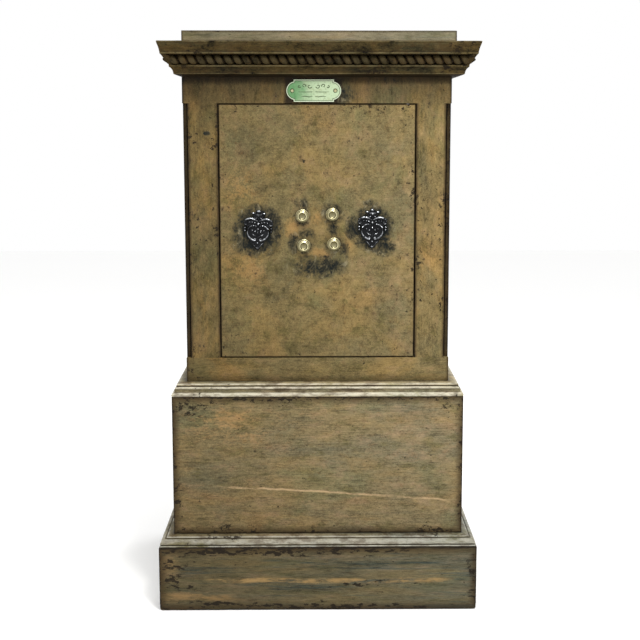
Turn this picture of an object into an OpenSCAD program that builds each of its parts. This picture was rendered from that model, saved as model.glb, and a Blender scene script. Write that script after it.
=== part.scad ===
// A French-style pedestal safe: iron-faced body on a stepped two-part pedestal,
// moulded cornice with a rope bead, one door on concealed pivots, four letter
// knobs, two swinging key covers, and the lock work behind the door plate.
// Origin at the middle of the footprint on the floor, +Z up, front towards -Y.
// All lengths are in millimetres.

/* [Plan sizes] */
// Width of the plinth, the widest piece
plinth_w = 700; // [620:2:760]
// Width of the pedestal block above the plinth
pedestal_w = 638; // [560:2:700]
// Width of the safe's body
body_w = 576; // [500:2:640]
// Depth of the safe's body, front face to back
body_d = 500; // [420:5:600]
// Width over the cornice's top fascia
cornice_w = 680; // [620:2:740]
// Width of the slab on top
cap_w = 584; // [520:2:640]

/* [Heights above the floor] */
// Top of the plinth's upright boards
plinth_face_z = 143; // [120:1:170]
// Top of the plinth with its moulding
plinth_z = 166; // [140:1:190]
// Top of the pedestal's upright boards
pedestal_face_z = 475; // [420:1:520]
// Top of the pedestal with its moulding
pedestal_z = 504; // [440:1:550]
// Underside of the bottom edge of the door opening
opening_z0 = 556; // [520:1:600]
// Top of the door opening
opening_z1 = 1108; // [1050:1:1140]
// Top of the safe's body
body_z = 1163; // [1100:1:1200]
// Top of the cornice
cornice_z = 1236; // [1200:1:1260]
// How far the loose cornice and cap sit to the right of the body's middle
cornice_x = 5; // [0:0.5:8]
// Overall height
total_z = 1260; // [1220:1:1300]

/* [Walls] */
// Thickness of the front frame and of the door plate
frame_t = 15; // [10:0.5:20]
// Width of the stopped rebate down each front corner
rebate_w = 11; // [0:0.5:16]
// Thickness of the outer casing plates
casing_t = 8; // [4:0.5:12]
// Thickness of the inner steel lining
liner_t = 3; // [2:0.5:5]
// Half width of the inner compartment
room_x = 210; // [190:1:214]
// Thickness of the plinth boards
plinth_t = 16; // [10:1:24]
// Thickness of the pedestal boards
pedestal_t = 14; // [10:1:24]

/* [Door] */
// Half width of the door opening
opening_x = 213; // [180:1:240]
// Gap all round the closed door
door_gap = 2.5; // [2:0.1:4]
// Pivot axis, in from the door's hinge edge
pivot_in = 16; // [12:0.5:20]
// Pivot axis, behind the door's front face
pivot_back = 8; // [7.5:0.1:9]
// Radius of the pivot pins
pivot_r = 5; // [3:0.5:6]
// Free side of the plug behind the door plate
plug_x0 = -192; // [-195:0.5:-180]
// Hinge side of that plug
plug_x1 = 205; // [180:1:208]
// Back of the plug, behind the body's front face
plug_depth = 78; // [60:1:90]

/* [Lock work] */
// Radius of the three round bolts
bolt_r = 10; // [6:0.5:12]
// Travel of the bolts
throw = 20; // [10:1:24]
// Height of the line through both keyholes
key_z = 832; // [800:1:860]
// Main keyhole, across from the middle
key_left_x = -127; // [-140:0.5:-110]
// Guard keyhole, across from the middle
key_right_x = 119.5; // [105:0.5:135]
// Radius of the key barrels
barrel_r = 7; // [5:0.5:9]
// Pitch radius of the barrels' pinions
pitch_r = 10; // [8:0.5:12]
// Teeth on each pinion
teeth = 12; // [8:1:16]
// Travel of the guard bolt
guard_throw = 10; // [6:1:12]

/* [Knobs] */
// Radius of the letter knobs at the foot
knob_r = 14.4; // [10:0.2:18]
// Knobs to each side of the middle
knob_x = 32.5; // [25:0.5:45]
// Height of the upper knobs
knob_z1 = 869; // [850:1:890]
// Height of the lower knobs
knob_z0 = 804.5; // [780:0.5:820]
// Middle of the group of four knobs, across
knob_mid_x = 1.6; // [-4:0.1:4]
// How far that group is turned from square, anticlockwise
knob_turn = 2.9; // [-4:0.1:4]
// How far the knobs stand off the door
knob_out = 17; // [10:0.5:24]

/* [Key covers] */
// Left cover's pivot, above its keyhole
left_cover_up = 30; // [28:0.5:34]
// Right cover's pivot, above its keyhole
right_cover_up = 33; // [28:0.5:34]
// Radius of the round shield of a cover
shield_r = 25; // [20:0.5:30]
// Thickness of a cover at its rim
cover_t = 4; // [2:0.5:6]

/* [Nameplate] */
// Width of the brass plate
plate_w = 117; // [100:1:140]
// Height of the brass plate
plate_h = 47; // [40:1:54]
// Half the distance between its two screws
plate_screw_x = 46; // [40:0.5:52]

/* [Hidden] */
$fn = 96;
half_d = (body_d + (plinth_w - body_w) / 2) / 2;
y_back = half_d;
y_body = y_back - body_d;
y_ped = y_body - (pedestal_w - body_w) / 2;
y_plinth = y_body - (plinth_w - body_w) / 2;
hw = body_w / 2;
hp = pedestal_w / 2;
hb = plinth_w / 2;
y_frame = y_body + frame_t;
y_case_in = y_back - casing_t;
y_plug = y_body + plug_depth;
wall_x = opening_x + 27;
strike_x = -200;
door_x = opening_x - door_gap;
door_z0 = opening_z0 + door_gap;
door_z1 = opening_z1 - door_gap;
plug_z0 = opening_z0 + 10;
plug_z1 = opening_z1 - 10;
pivot_x = door_x - pivot_in;
pivot_y = y_body + pivot_back;
y_lock = y_body + 39;
y_chamber = y_lock + 5;
y_cover = y_plug - 4;
y_bar0 = y_body + 57;
y_bar1 = y_bar0 + 8;
bolt_y = y_body + 59;
bolt_zs = [650, key_z, 1014];
mortice = bolt_r + 1.5;
carrier_x = -158;
carrier_w = 18;
wheel_r = 16;
fence_back = 9;
run_gap = 0.05;
cover_gap = 0.4;
knob_gap = 0.5;
pitch = 2 * PI * pitch_r / teeth;
plate_x = -7;
plate_end_r = 19.5;
plate_z = 1134.5;

// ---- helpers ----

// A box from its low corner to its high corner.
module box(a, b) {
  translate(a) cube([b[0] - a[0], b[1] - a[1], b[2] - a[2]]);
}

// A round bar along Y from y0 to y1.
module bar_y(x, z, r, y0, y1) {
  translate([x, y1, z]) rotate([90, 0, 0]) cylinder(r = r, h = y1 - y0);
}

// A round bar along X from x0 to x1.
module bar_x(y, z, r, x0, x1) {
  translate([x0, y, z]) rotate([0, 90, 0]) cylinder(r = r, h = x1 - x0);
}

// A round bar along Z from z0 to z1.
module bar_z(x, y, r, z0, z1) {
  translate([x, y, z0]) cylinder(r = r, h = z1 - z0);
}

// A flat outline drawn in X and Z, standing from y0 back to y1.
module slab_xz(y0, y1) {
  translate([0, y1, 0]) rotate([90, 0, 0]) linear_extrude(y1 - y0) children();
}

// Both sides of the safe.
module both_sides() {
  children();
  mirror([1, 0, 0]) children();
}

// Three mitred lengths of a moulding round the front and the two sides.
// The profile is drawn as [outward from the body's face, height].
module moulding_front(out) {
  intersection() {
    translate([-hw - out, y_body, 0]) rotate([90, 0, 90])
      linear_extrude(2 * (hw + out)) mirror([1, 0]) children();
    translate([0, 0, -1]) linear_extrude(total_z + 2)
      polygon([[-hw - out - 1, y_body - out - 1], [hw + out + 1, y_body - out - 1],
        [hw - 60, y_body + 60], [60 - hw, y_body + 60]]);
  }
}

module moulding_side(out) {
  intersection() {
    translate([hw, y_back, 0]) rotate([90, 0, 0])
      linear_extrude(y_back - y_body + out) children();
    translate([0, 0, -1]) linear_extrude(total_z + 2)
      polygon([[hw + out + 1, y_body - out - 1], [hw + out + 1, y_back + 1],
        [hw - 60, y_back + 1], [hw - 60, y_body + 60]]);
  }
}

module moulding(out) {
  moulding_front(out) children();
  moulding_side(out) children();
  mirror([1, 0, 0]) moulding_side(out) children();
}

// ---- plinth ----

module plinth_front_board() {
  color("DarkOliveGreen")
    box([-hb, y_plinth, 0], [hb, y_plinth + plinth_t, plinth_face_z]);
}

module plinth_side_boards() {
  color("DarkOliveGreen") both_sides()
    box([hb - plinth_t, y_plinth + plinth_t, 0], [hb, y_back, plinth_face_z]);
}

module plinth_back_board() {
  color("DarkOliveGreen")
    box([plinth_t - hb, y_back - plinth_t, 0], [hb - plinth_t, y_back, plinth_face_z]);
}

module plinth_corner_blocks() {
  b = 34;
  color("Peru") both_sides() {
    box([hb - plinth_t - b, y_plinth + plinth_t, 6],
      [hb - plinth_t, y_plinth + plinth_t + b, plinth_face_z]);
    box([hb - plinth_t - b, y_back - plinth_t - b, 6],
      [hb - plinth_t, y_back - plinth_t, plinth_face_z]);
  }
}

module plinth_deck() {
  color("DarkKhaki")
    box([20 - hw, y_body + 20, plinth_face_z], [hw - 20, y_back, plinth_z]);
}

// Plinth moulding: an ovolo over a small bead, with a sunk line under each.
module plinth_profile() {
  o1 = (plinth_w - body_w) / 2;
  z = plinth_face_z;
  intersection() {
    union() {
      polygon([[-20, z], [o1 - 6, z], [o1 - 6, z + 3], [o1 - 8, z + 4],
        [o1 - 8, z + 6], [o1 - 15, z + 15.5], [o1 - 16, z + 16.5],
        [o1 - 16, z + 18], [o1 - 17.5, plinth_z], [-20, plinth_z]]);
      intersection() {
        translate([o1 - 13, z + 6]) circle(r = 10.5);
        translate([o1 - 16, z + 5]) square([20, 12]);
      }
      translate([o1 - 3.5, z + 1.8]) circle(r = 2);
    }
    translate([-20, z]) square([o1 + 20, plinth_z - z]);
  }
}

module plinth_moulding() {
  color("Olive") moulding((plinth_w - body_w) / 2) plinth_profile();
}

// ---- pedestal block ----

module pedestal_front_board() {
  color("OliveDrab")
    box([-hp, y_ped, plinth_z], [hp, y_ped + pedestal_t, pedestal_face_z]);
}

module pedestal_side_boards() {
  color("OliveDrab") both_sides()
    box([hp - pedestal_t, y_ped + pedestal_t, plinth_z], [hp, y_back, pedestal_face_z]);
}

module pedestal_back_board() {
  color("OliveDrab")
    box([pedestal_t - hp, y_back - pedestal_t, plinth_z],
      [hp - pedestal_t, y_back, pedestal_face_z]);
}

module pedestal_corner_posts() {
  b = 40;
  color("Peru") both_sides() {
    box([hp - pedestal_t - b, y_ped + pedestal_t, plinth_z],
      [hp - pedestal_t, y_ped + pedestal_t + b, pedestal_face_z]);
    box([hp - pedestal_t - b, y_back - pedestal_t - b, plinth_z],
      [hp - pedestal_t, y_back - pedestal_t, pedestal_face_z]);
  }
}

module pedestal_deck() {
  color("DarkKhaki")
    box([20 - hw, y_body + 20, pedestal_face_z], [hw - 20, y_back, pedestal_z]);
}

// Pedestal moulding: quarter-round foot, hollow, then a bead under a flat top.
module pedestal_profile() {
  o1 = (pedestal_w - body_w) / 2;
  z = pedestal_face_z;
  difference() {
    polygon([[-20, z], [o1 + 0.5, z], [o1 + 0.5, z + 4], [o1 - 3.5, z + 8.5],
      [o1 - 3.5, z + 14.5], [o1 - 8.5, z + 14.5], [o1 - 8.5, z + 20.5],
      [o1 - 10, z + 20.5], [o1 - 10, z + 24], [o1 - 10, pedestal_z],
      [-20, pedestal_z]]);
    translate([o1 - 1.8, z + 12]) circle(r = 4);
  }
  translate([o1 - 3.5, z + 4]) circle(r = 4);
  translate([o1 - 9, z + 17.5]) circle(r = 3);
}

module pedestal_moulding() {
  color("Olive") moulding((pedestal_w - body_w) / 2 + 0.5) pedestal_profile();
}

// ---- body casing ----

module casing_side_plates() {
  color("DarkSeaGreen") both_sides()
    box([hw - casing_t, y_frame, pedestal_z], [hw, y_back, body_z]);
}

module casing_back_plate() {
  color("DarkSeaGreen")
    box([casing_t - hw, y_case_in, pedestal_z], [hw - casing_t, y_back, body_z]);
}

module casing_end_plates() {
  color("DarkSeaGreen") {
    box([casing_t - hw, y_frame, pedestal_z],
      [hw - casing_t, y_case_in, pedestal_z + casing_t]);
    box([casing_t - hw, y_frame, body_z - casing_t],
      [hw - casing_t, y_case_in, body_z]);
  }
}

module frame_top_rail() {
  color("OliveDrab") difference() {
    box([-hw, y_body, opening_z1], [hw, y_frame, body_z]);
    bar_z(pivot_x, pivot_y, pivot_r + run_gap, opening_z1 - 1, opening_z1 + 24);
    for (s = [-1, 1])
      bar_y(plate_x + s * plate_screw_x, plate_z, 1.6, y_body - 1, y_frame + 1);
  }
}

module frame_bottom_rail() {
  color("OliveDrab") difference() {
    box([-hw, y_body, pedestal_z], [hw, y_frame, opening_z0]);
    bar_z(pivot_x, pivot_y, pivot_r + run_gap, opening_z0 - 24, opening_z0 + 1);
  }
}

module frame_stiles() {
  color("OliveDrab") both_sides()
    box([opening_x, y_body, opening_z0], [hw - rebate_w, y_frame, opening_z1]);
}

// The bar down the free side, with a square mortice for each of the three bolts.
module strike_bar() {
  color("SlateGray") difference() {
    box([-wall_x, y_frame + 1, opening_z0], [strike_x, y_plug, opening_z1]);
    for (z = bolt_zs)
      box([strike_x - 22, bolt_y - mortice, z - mortice], [strike_x + 1, bolt_y + mortice, z + mortice]);
  }
}

module hinge_bar() {
  color("SlateGray")
    box([opening_x, y_frame, opening_z0], [wall_x, y_plug, opening_z1]);
}

// Head and sill bars, each with a stop that stays clear of the hinge side.
module head_and_sill_bars() {
  color("SlateGray") {
    box([-wall_x, y_frame, opening_z0 - 16], [wall_x, y_plug, opening_z0]);
    box([strike_x, y_frame + 1, opening_z0], [170, y_plug, opening_z0 + 6]);
    box([-wall_x, y_frame, opening_z1], [wall_x, y_plug, opening_z1 + 16]);
    box([strike_x, y_frame + 1, opening_z1 - 6], [170, y_plug, opening_z1]);
  }
}

module fireproof_filling() {
  xo = hw - casing_t;
  z0 = pedestal_z + casing_t;
  z1 = body_z - casing_t;
  rx = room_x + liner_t;
  color("Gainsboro") {
    both_sides() box([wall_x, y_frame, z0], [xo, y_case_in, z1]);
    both_sides() box([rx, y_plug, opening_z0], [wall_x, y_case_in, opening_z1]);
    box([-wall_x, y_plug, z0], [wall_x, y_case_in, opening_z0]);
    box([-wall_x, y_plug, opening_z1], [wall_x, y_case_in, z1]);
    box([-wall_x, y_frame, z0], [wall_x, y_plug, opening_z0 - 16]);
    box([-wall_x, y_frame, opening_z1 + 16], [wall_x, y_plug, z1]);
    box([-rx, y_case_in - 39, opening_z0], [rx, y_case_in, opening_z1]);
  }
}

// ---- inner compartment ----

module liner_side_plates() {
  color("LightSteelBlue") both_sides()
    box([room_x, y_plug, opening_z0], [room_x + liner_t, y_case_in - 39, opening_z1]);
}

module liner_back_plate() {
  color("LightSteelBlue")
    box([-room_x, y_case_in - 39 - liner_t, opening_z0 + liner_t],
      [room_x, y_case_in - 39, opening_z1 - liner_t]);
}

module liner_end_plates() {
  color("LightSteelBlue") {
    box([-room_x, y_plug, opening_z0], [room_x, y_case_in - 39, opening_z0 + liner_t]);
    box([-room_x, y_plug, opening_z1 - liner_t], [room_x, y_case_in - 39, opening_z1]);
  }
}

module shelf() {
  color("BurlyWood")
    box([1 - room_x, y_plug + 20, key_z + 2], [room_x - 1, y_case_in - 43, key_z + 8]);
}

module shelf_brackets() {
  color("SlateGray") both_sides()
    box([room_x - 10, y_plug + 24, key_z - 10], [room_x, y_case_in - 50, key_z + 2]);
}

// ---- cornice and top ----

// Rope bead centre, outward from the body's face and above the floor.
rope_o = 30;
rope_z = 1198.6;
rope_r = 10;

module cornice_profile() {
  o1 = (cornice_w - body_w) / 2;
  difference() {
    polygon([[-20, body_z], [0, body_z], [20, body_z + 5.5], [20.5, body_z + 8],
      [23, body_z + 11], [26, body_z + 20], [28.5, body_z + 20.5],
      [28.5, body_z + 24.5], [25, body_z + 26], [25, body_z + 45.5],
      [45, body_z + 46], [45, body_z + 49.3], [o1 - 5, body_z + 51.5],
      [o1, cornice_z], [-20, cornice_z]]);
    translate([rope_o, rope_z]) circle(r = rope_r);
  }
}

module cornice_moulding() {
  color("SaddleBrown") translate([cornice_x, 0, 0])
    moulding((cornice_w - body_w) / 2) cornice_profile();
}

module rope_moulding() {
  color("Sienna") translate([cornice_x, 0, 0]) moulding(rope_o + rope_r + 1)
    translate([rope_o, rope_z]) circle(r = rope_r);
}

module cornice_board() {
  color("DarkKhaki") translate([cornice_x, 0, 0])
    box([20 - hw, y_body + 20, cornice_z - 18], [hw - 20, y_back, cornice_z]);
}

module cornice_back_rail() {
  color("Peru") translate([cornice_x, 0, 0])
    box([20 - hw, y_back - 16, body_z], [hw - 20, y_back, cornice_z - 18]);
}

module top_cap() {
  color("Tan") translate([cornice_x, 0, 0])
    box([-cap_w / 2, y_body - (cap_w - body_w) / 2, cornice_z], [cap_w / 2, y_back, total_z]);
}

// ---- nameplate ----

// Oval-ended plate with a small step in at each shoulder.
module nameplate() {
  color("Goldenrod") difference() {
    slab_xz(y_body - 2.5, y_body) translate([plate_x, plate_z]) {
      square([plate_w - 31, plate_h], center = true);
      for (s = [-1, 1])
        translate([s * (plate_w / 2 - plate_end_r), 0]) circle(r = plate_end_r);
    }
    for (s = [-1, 1])
      bar_y(plate_x + s * plate_screw_x, plate_z, 1.8, y_body - 4, y_body + 1);
  }
}

module nameplate_screws() {
  color("Gold") for (s = [-1, 1]) {
    bar_y(plate_x + s * plate_screw_x, plate_z, 1.5, y_body - 2.6, y_body + 12);
    translate([plate_x + s * plate_screw_x, y_body - 2.5, plate_z])
      rotate([90, 0, 0]) cylinder(r1 = 3.4, r2 = 2.4, h = 1.4);
  }
}

// ---- door ----

module pivot_washer() {
  color("Gold") difference() {
    bar_z(pivot_x, pivot_y, 6.9, opening_z0, opening_z0 + door_gap - 0.2);
    bar_z(pivot_x, pivot_y, pivot_r + run_gap, opening_z0 - 1, door_z0);
  }
}

module pivot_pins() {
  color("Silver") {
    bar_z(pivot_x, pivot_y, pivot_r, opening_z0 - 20, door_z0 + 40);
    bar_z(pivot_x, pivot_y, pivot_r, door_z1 - 40, opening_z1 + 20);
  }
}

// Where the four knobs, the keyholes and the cover pivots are: [across, height].
knob_mid_z = (knob_z0 + knob_z1) / 2;
knob_up = (knob_z1 - knob_z0) / 2;
knob_at = [for (v = [1, -1]) for (h = [-1, 1])
  [knob_mid_x + h * knob_x * cos(knob_turn) - v * knob_up * sin(knob_turn),
    knob_mid_z + h * knob_x * sin(knob_turn) + v * knob_up * cos(knob_turn)]];
key_at = [[key_left_x, key_z], [key_right_x, key_z]];
pivot_at = [[key_left_x, key_z + left_cover_up], [key_right_x, key_z + right_cover_up]];

module door_front_plate() {
  color("OliveDrab") difference() {
    box([-door_x, y_body, door_z0], [door_x, y_frame, door_z1]);
    bar_z(pivot_x, pivot_y, pivot_r, door_z0 - 1, door_z0 + 40);
    bar_z(pivot_x, pivot_y, pivot_r, door_z1 - 40, door_z1 + 1);
    for (p = knob_at) bar_y(p[0], p[1], 4.5, y_body - 1, y_frame + 1);
    for (p = key_at) bar_y(p[0], p[1], 11, y_body - 1, y_frame + 1);
    for (p = pivot_at) bar_y(p[0], p[1], 2, y_body - 1, y_body + 12);
  }
}

// Four bars make the shallow tray behind the plate; bolts pass the free side.
module door_edge_bars() {
  color("SlateGray") difference() {
    union() {
      box([plug_x0, y_frame, plug_z0], [plug_x0 + 12, y_cover, plug_z1]);
      box([plug_x1 - 10, y_frame, plug_z0], [plug_x1, y_cover, plug_z1]);
      box([plug_x0 + 12, y_frame, plug_z0], [plug_x1 - 10, y_cover, plug_z0 + 10]);
      box([plug_x0 + 12, y_frame, plug_z1 - 10], [plug_x1 - 10, y_cover, plug_z1]);
    }
    for (z = bolt_zs)
      bar_x(bolt_y, z, bolt_r + run_gap, plug_x0 - 1, plug_x0 + 13);
  }
}

module tray_slab(y0, y1) {
  box([plug_x0 + 12, y0, plug_z0 + 10], [plug_x1 - 10, y1, plug_z1 - 10]);
}

module door_filling() {
  color("Gainsboro") difference() {
    tray_slab(y_frame, y_lock);
    for (p = knob_at) bar_y(p[0], p[1], 6, y_frame - 1, y_lock + 1);
    for (p = key_at) bar_y(p[0], p[1], 9, y_frame - 1, y_lock + 1);
  }
}

module lock_mounting_plate() {
  color("LightSteelBlue") difference() {
    tray_slab(y_lock, y_chamber);
    for (p = knob_at) bar_y(p[0], p[1], 4 + run_gap, y_lock - 1, y_chamber + 1);
    for (p = key_at) bar_y(p[0], p[1], barrel_r + run_gap, y_lock - 1, y_chamber + 1);
  }
}

// The cover lies on the four edge bars and is screwed to them.
screw_xs = [plug_x0 + 6, -90, 0, 90, plug_x1 - 5];
screw_at = concat([for (x = screw_xs) [x, plug_z0 + 5]], [for (x = screw_xs) [x, plug_z1 - 5]],
  [for (z = [735, 929]) [plug_x0 + 6, z]], [for (z = [735, 929]) [plug_x1 - 5, z]]);

module door_back_cover() {
  color("DimGray") difference() {
    box([plug_x0, y_cover, plug_z0], [plug_x1, y_plug, plug_z1]);
    for (p = screw_at) bar_y(p[0], p[1], 2.5, y_cover - 1, y_plug + 1);
  }
}

module back_cover_screws() {
  color("Silver") for (p = screw_at) {
    bar_y(p[0], p[1], 2.4, y_cover, y_plug);
    translate([p[0], y_plug, p[1]]) rotate([-90, 0, 0]) cylinder(r1 = 4.4, r2 = 3.2, h = 2);
  }
}

module keyhole_collars() {
  color("Gold") for (p = key_at) difference() {
    bar_y(p[0], p[1], 11, y_body, y_frame);
    bar_y(p[0], p[1], barrel_r + run_gap, y_body - 1, y_frame + 1);
  }
}

// Screws the key covers hang on: a shank in the door and a domed head outside.
module cover_pivot_screws() {
  color("DimGray") for (p = pivot_at) {
    bar_y(p[0], p[1], 2, y_body - 5.2, y_body + 12);
    translate([p[0], y_body - 4.8, p[1]])
      rotate([90, 0, 0]) cylinder(r1 = 3.4, r2 = 2, h = 2);
  }
}

// Guides keep both bars on their lines inside the lock chamber.
module bolt_bar_guides() {
  color("SlateGray") {
    box([-92, y_chamber, arm_z1 + 0.2], [-68, y_bar1 + 3, arm_z1 + 9]);
    box([-92, y_chamber, low_z0 - 9], [-68, y_bar1 + 3, low_z0 - 0.2]);
    box([guard_x0 - 12, y_chamber, key_z - 40], [guard_x0 - 0.2, y_bar1 + 3, key_z + 10]);
    for (z = [carrier_z0 - 46, carrier_z1 + 21])
      box([carrier_x, y_chamber, z], [carrier_x + carrier_w, y_bar1 + 7, z + 25]);
  }
}

// ---- key covers ----

// Outline of a cover about its pivot: crown, shoulders, round shield and tail.
shield_drop = 31;
module cover_outline() {
  for (p = [[0, 13, 5.5], [-11, 10.5, 4.5], [11, 10.5, 4.5]])
    translate([p[0], p[1]]) circle(r = p[2]);
  polygon([[-12, 8], [12, 8], [9, -6], [-9, -6]]);
  polygon([[-24, -4], [24, -4], [24, -14], [-24, -14]]);
  translate([-25, -10]) circle(r = 6);
  translate([25, -10]) circle(r = 6);
  translate([0, -shield_drop]) circle(r = shield_r);
  polygon([[-16, -shield_drop - 18], [16, -shield_drop - 18], [3.5, -68], [-3.5, -68]]);
  translate([0, -66.5]) circle(r = 4);
}

module key_cover(pivot, tilt) {
  y1 = y_body - cover_gap;
  translate([pivot[0], 0, pivot[1]]) rotate([0, tilt, 0]) difference() {
    union() {
      slab_xz(y1 - cover_t, y1) cover_outline();
      bar_y(0, -shield_drop, shield_r - 4, y1 - cover_t - 1.6, y1 - cover_t);
    }
    bar_y(0, 0, 2 + run_gap, y1 - cover_t - 4, y1 + 1);
  }
}

module left_key_cover() {
  color("DimGray") key_cover(pivot_at[0], 3);
}

module right_key_cover() {
  color("DimGray") key_cover(pivot_at[1], 1.2);
}

// ---- letter knobs and their wheels ----

// Knob turned about Y: flange, dome and a dished end, bored for its spindle.
module knob(i) {
  p = knob_at[i];
  h = knob_out - knob_gap;
  color("Gold") translate([p[0], y_body - knob_gap, p[1]]) rotate([90, 0, 0]) difference() {
    rotate_extrude() {
      square([knob_r - 1.5, 4]);
      square([knob_r, 2.5]);
      translate([knob_r - 1.5, 2.5]) circle(r = 1.5);
      square([9, h - 2]);
      square([10.4, h - 4]);
      translate([8.4, h - 2.5]) circle(r = 2);
      square([6, h - 1]);
    }
    translate([0, 0, h + 3.2]) sphere(r = 7.2);
    translate([0, 0, -1]) cylinder(r = 4, h = 9);
  }
}

module knob_upper_left() { knob(0); }
module knob_upper_right() { knob(1); }
module knob_lower_left() { knob(2); }
module knob_lower_right() { knob(3); }

// A wheel is a cup on the spindle. The fence stud stands in the ring-shaped
// space between hub and rim and passes the rim through a gate on the -X side.
module wheel(i) {
  p = knob_at[i];
  y0 = y_chamber + 0.5;
  color("Gold") {
    bar_y(p[0], p[1], 4, y_body - knob_gap - 8, y0);
    difference() {
      bar_y(p[0], p[1], wheel_r, y0, y0 + 11.5);
      difference() {
        bar_y(p[0], p[1], wheel_r - 3, y0 + 3.5, y0 + 12);
        bar_y(p[0], p[1], 5, y0 + 3, y0 + 13);
      }
      bar_y(p[0], p[1], 6, y0 + 9, y0 + 12);
      box([p[0] - wheel_r - 1, y0 + 3.5, p[1] - 3.2], [p[0] - 6.5, y0 + 12, p[1] + 3.2]);
    }
  }
}

module wheel_upper_left() { wheel(0); }
module wheel_upper_right() { wheel(1); }
module wheel_lower_left() { wheel(2); }
module wheel_lower_right() { wheel(3); }

// ---- bolt work ----

arm_z0 = key_z + pitch_r + 2;
arm_z1 = 880;
low_z0 = 792;
low_z1 = 816;
carrier_z0 = 632;
carrier_z1 = 1032;
guard_x0 = key_right_x - 23;
guard_x1 = key_right_x - 12;

// One straight-sided rack tooth pointing down, its pitch line at height 0.
module rack_tooth() {
  polygon([[-1.75, 2.2], [-1.05, 0], [-0.55, -1.35], [0.55, -1.35], [1.05, 0], [1.75, 2.2]]);
}

// The pinion: tapered teeth on a root circle, a space facing +Z and another -X.
tooth_shape = [[8.2, -8.6], [10, -6.1], [11.35, -2.7], [11.35, 2.7], [10, 6.1], [8.2, 8.6]];
module pinion_outline() {
  polygon([for (i = [0:teeth - 1]) for (k = tooth_shape)
    let (a = (i + 0.5) * 360 / teeth + k[1], r = k[0] * pitch_r / 10)
      [r * cos(a), r * sin(a)]]);
}

module bolt_bar() {
  color("Silver") {
    box([carrier_x, bolt_y - 10, carrier_z0], [carrier_x + carrier_w, bolt_y + 10, carrier_z1]);
    slab_xz(y_bar0, y_bar1) difference() {
      union() {
        translate([carrier_x + carrier_w, arm_z0])
          square([key_right_x + 15 - carrier_x - carrier_w, arm_z1 - arm_z0]);
        for (i = [-1:5]) translate([key_left_x + i * pitch, key_z + pitch_r]) rack_tooth();
      }
      translate([knob_x + 28, arm_z0 - 1]) square([100, guard_throw + 2]);
      for (d = [0, throw])
        translate([guard_x0 + 0.5 + d, arm_z0]) square([10, 17]);
    }
    box([carrier_x + carrier_w, y_bar0, low_z0], [knob_x + 10, y_bar1, low_z1]);
    for (p = knob_at) bar_y(p[0] - fence_back, p[1], 2.5, y_chamber + 4.6, y_bar0);
  }
}

module lock_bolts() {
  color("Silver") for (z = bolt_zs) {
    bar_x(bolt_y, z, bolt_r, plug_x0 + 2.5, carrier_x);
    translate([plug_x0 + 0.5, bolt_y, z]) rotate([0, 90, 0])
      cylinder(r1 = bolt_r - 2, r2 = bolt_r, h = 2);
  }
}

// A key barrel: round plug with a key slot, shaft and pinion.
module barrel(x) {
  color("Gold") {
    difference() {
      bar_y(x, key_z, barrel_r, y_body, y_chamber + 1);
      box([x - 1.5, y_body - 1, key_z - 5], [x + 1.5, y_body + 24, key_z + 4]);
    }
    bar_y(x, key_z, 5, y_chamber + 1, y_bar0 - 0.5);
    translate([x, 0, key_z]) slab_xz(y_bar0 - 0.5, y_bar1 + 0.5) pinion_outline();
  }
}

module main_lock_barrel() { barrel(key_left_x); }

module guard_lock_barrel() { barrel(key_right_x); }

module guard_bolt() {
  color("Silver") slab_xz(y_bar0, y_bar1) {
    translate([guard_x0, key_z - 34]) square([guard_x1 - guard_x0, 46]);
    translate([guard_x0 + 1.2, key_z + 12]) square([8.6, 5]);
    for (i = [-3:1]) translate([key_right_x - pitch_r, key_z + i * pitch])
      rotate(90) rack_tooth();
  }
}

// ---- pieces ----

plinth_front_board();
plinth_side_boards();
plinth_back_board();
plinth_corner_blocks();
plinth_deck();
plinth_moulding();
pedestal_front_board();
pedestal_side_boards();
pedestal_back_board();
pedestal_corner_posts();
pedestal_deck();
pedestal_moulding();
casing_side_plates();
casing_back_plate();
casing_end_plates();
frame_top_rail();
frame_bottom_rail();
frame_stiles();
strike_bar();
hinge_bar();
head_and_sill_bars();
fireproof_filling();
liner_side_plates();
liner_back_plate();
liner_end_plates();
shelf();
shelf_brackets();
cornice_moulding();
rope_moulding();
cornice_board();
cornice_back_rail();
top_cap();
nameplate();
nameplate_screws();
pivot_washer();
door_front_plate();
door_edge_bars();
door_filling();
lock_mounting_plate();
door_back_cover();
back_cover_screws();
pivot_pins();
keyhole_collars();
cover_pivot_screws();
bolt_bar_guides();
left_key_cover();
right_key_cover();
knob_upper_left();
knob_upper_right();
knob_lower_left();
knob_lower_right();
wheel_upper_left();
wheel_upper_right();
wheel_lower_left();
wheel_lower_right();
bolt_bar();
lock_bolts();
main_lock_barrel();
guard_bolt();
guard_lock_barrel();
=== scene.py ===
"""An old iron pedestal safe: aged olive-brown paint on plate iron, a rope-beaded cornice,
brass letter knobs and black cast key covers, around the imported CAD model."""
import math

import bmesh
import bpy
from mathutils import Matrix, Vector, noise


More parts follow.
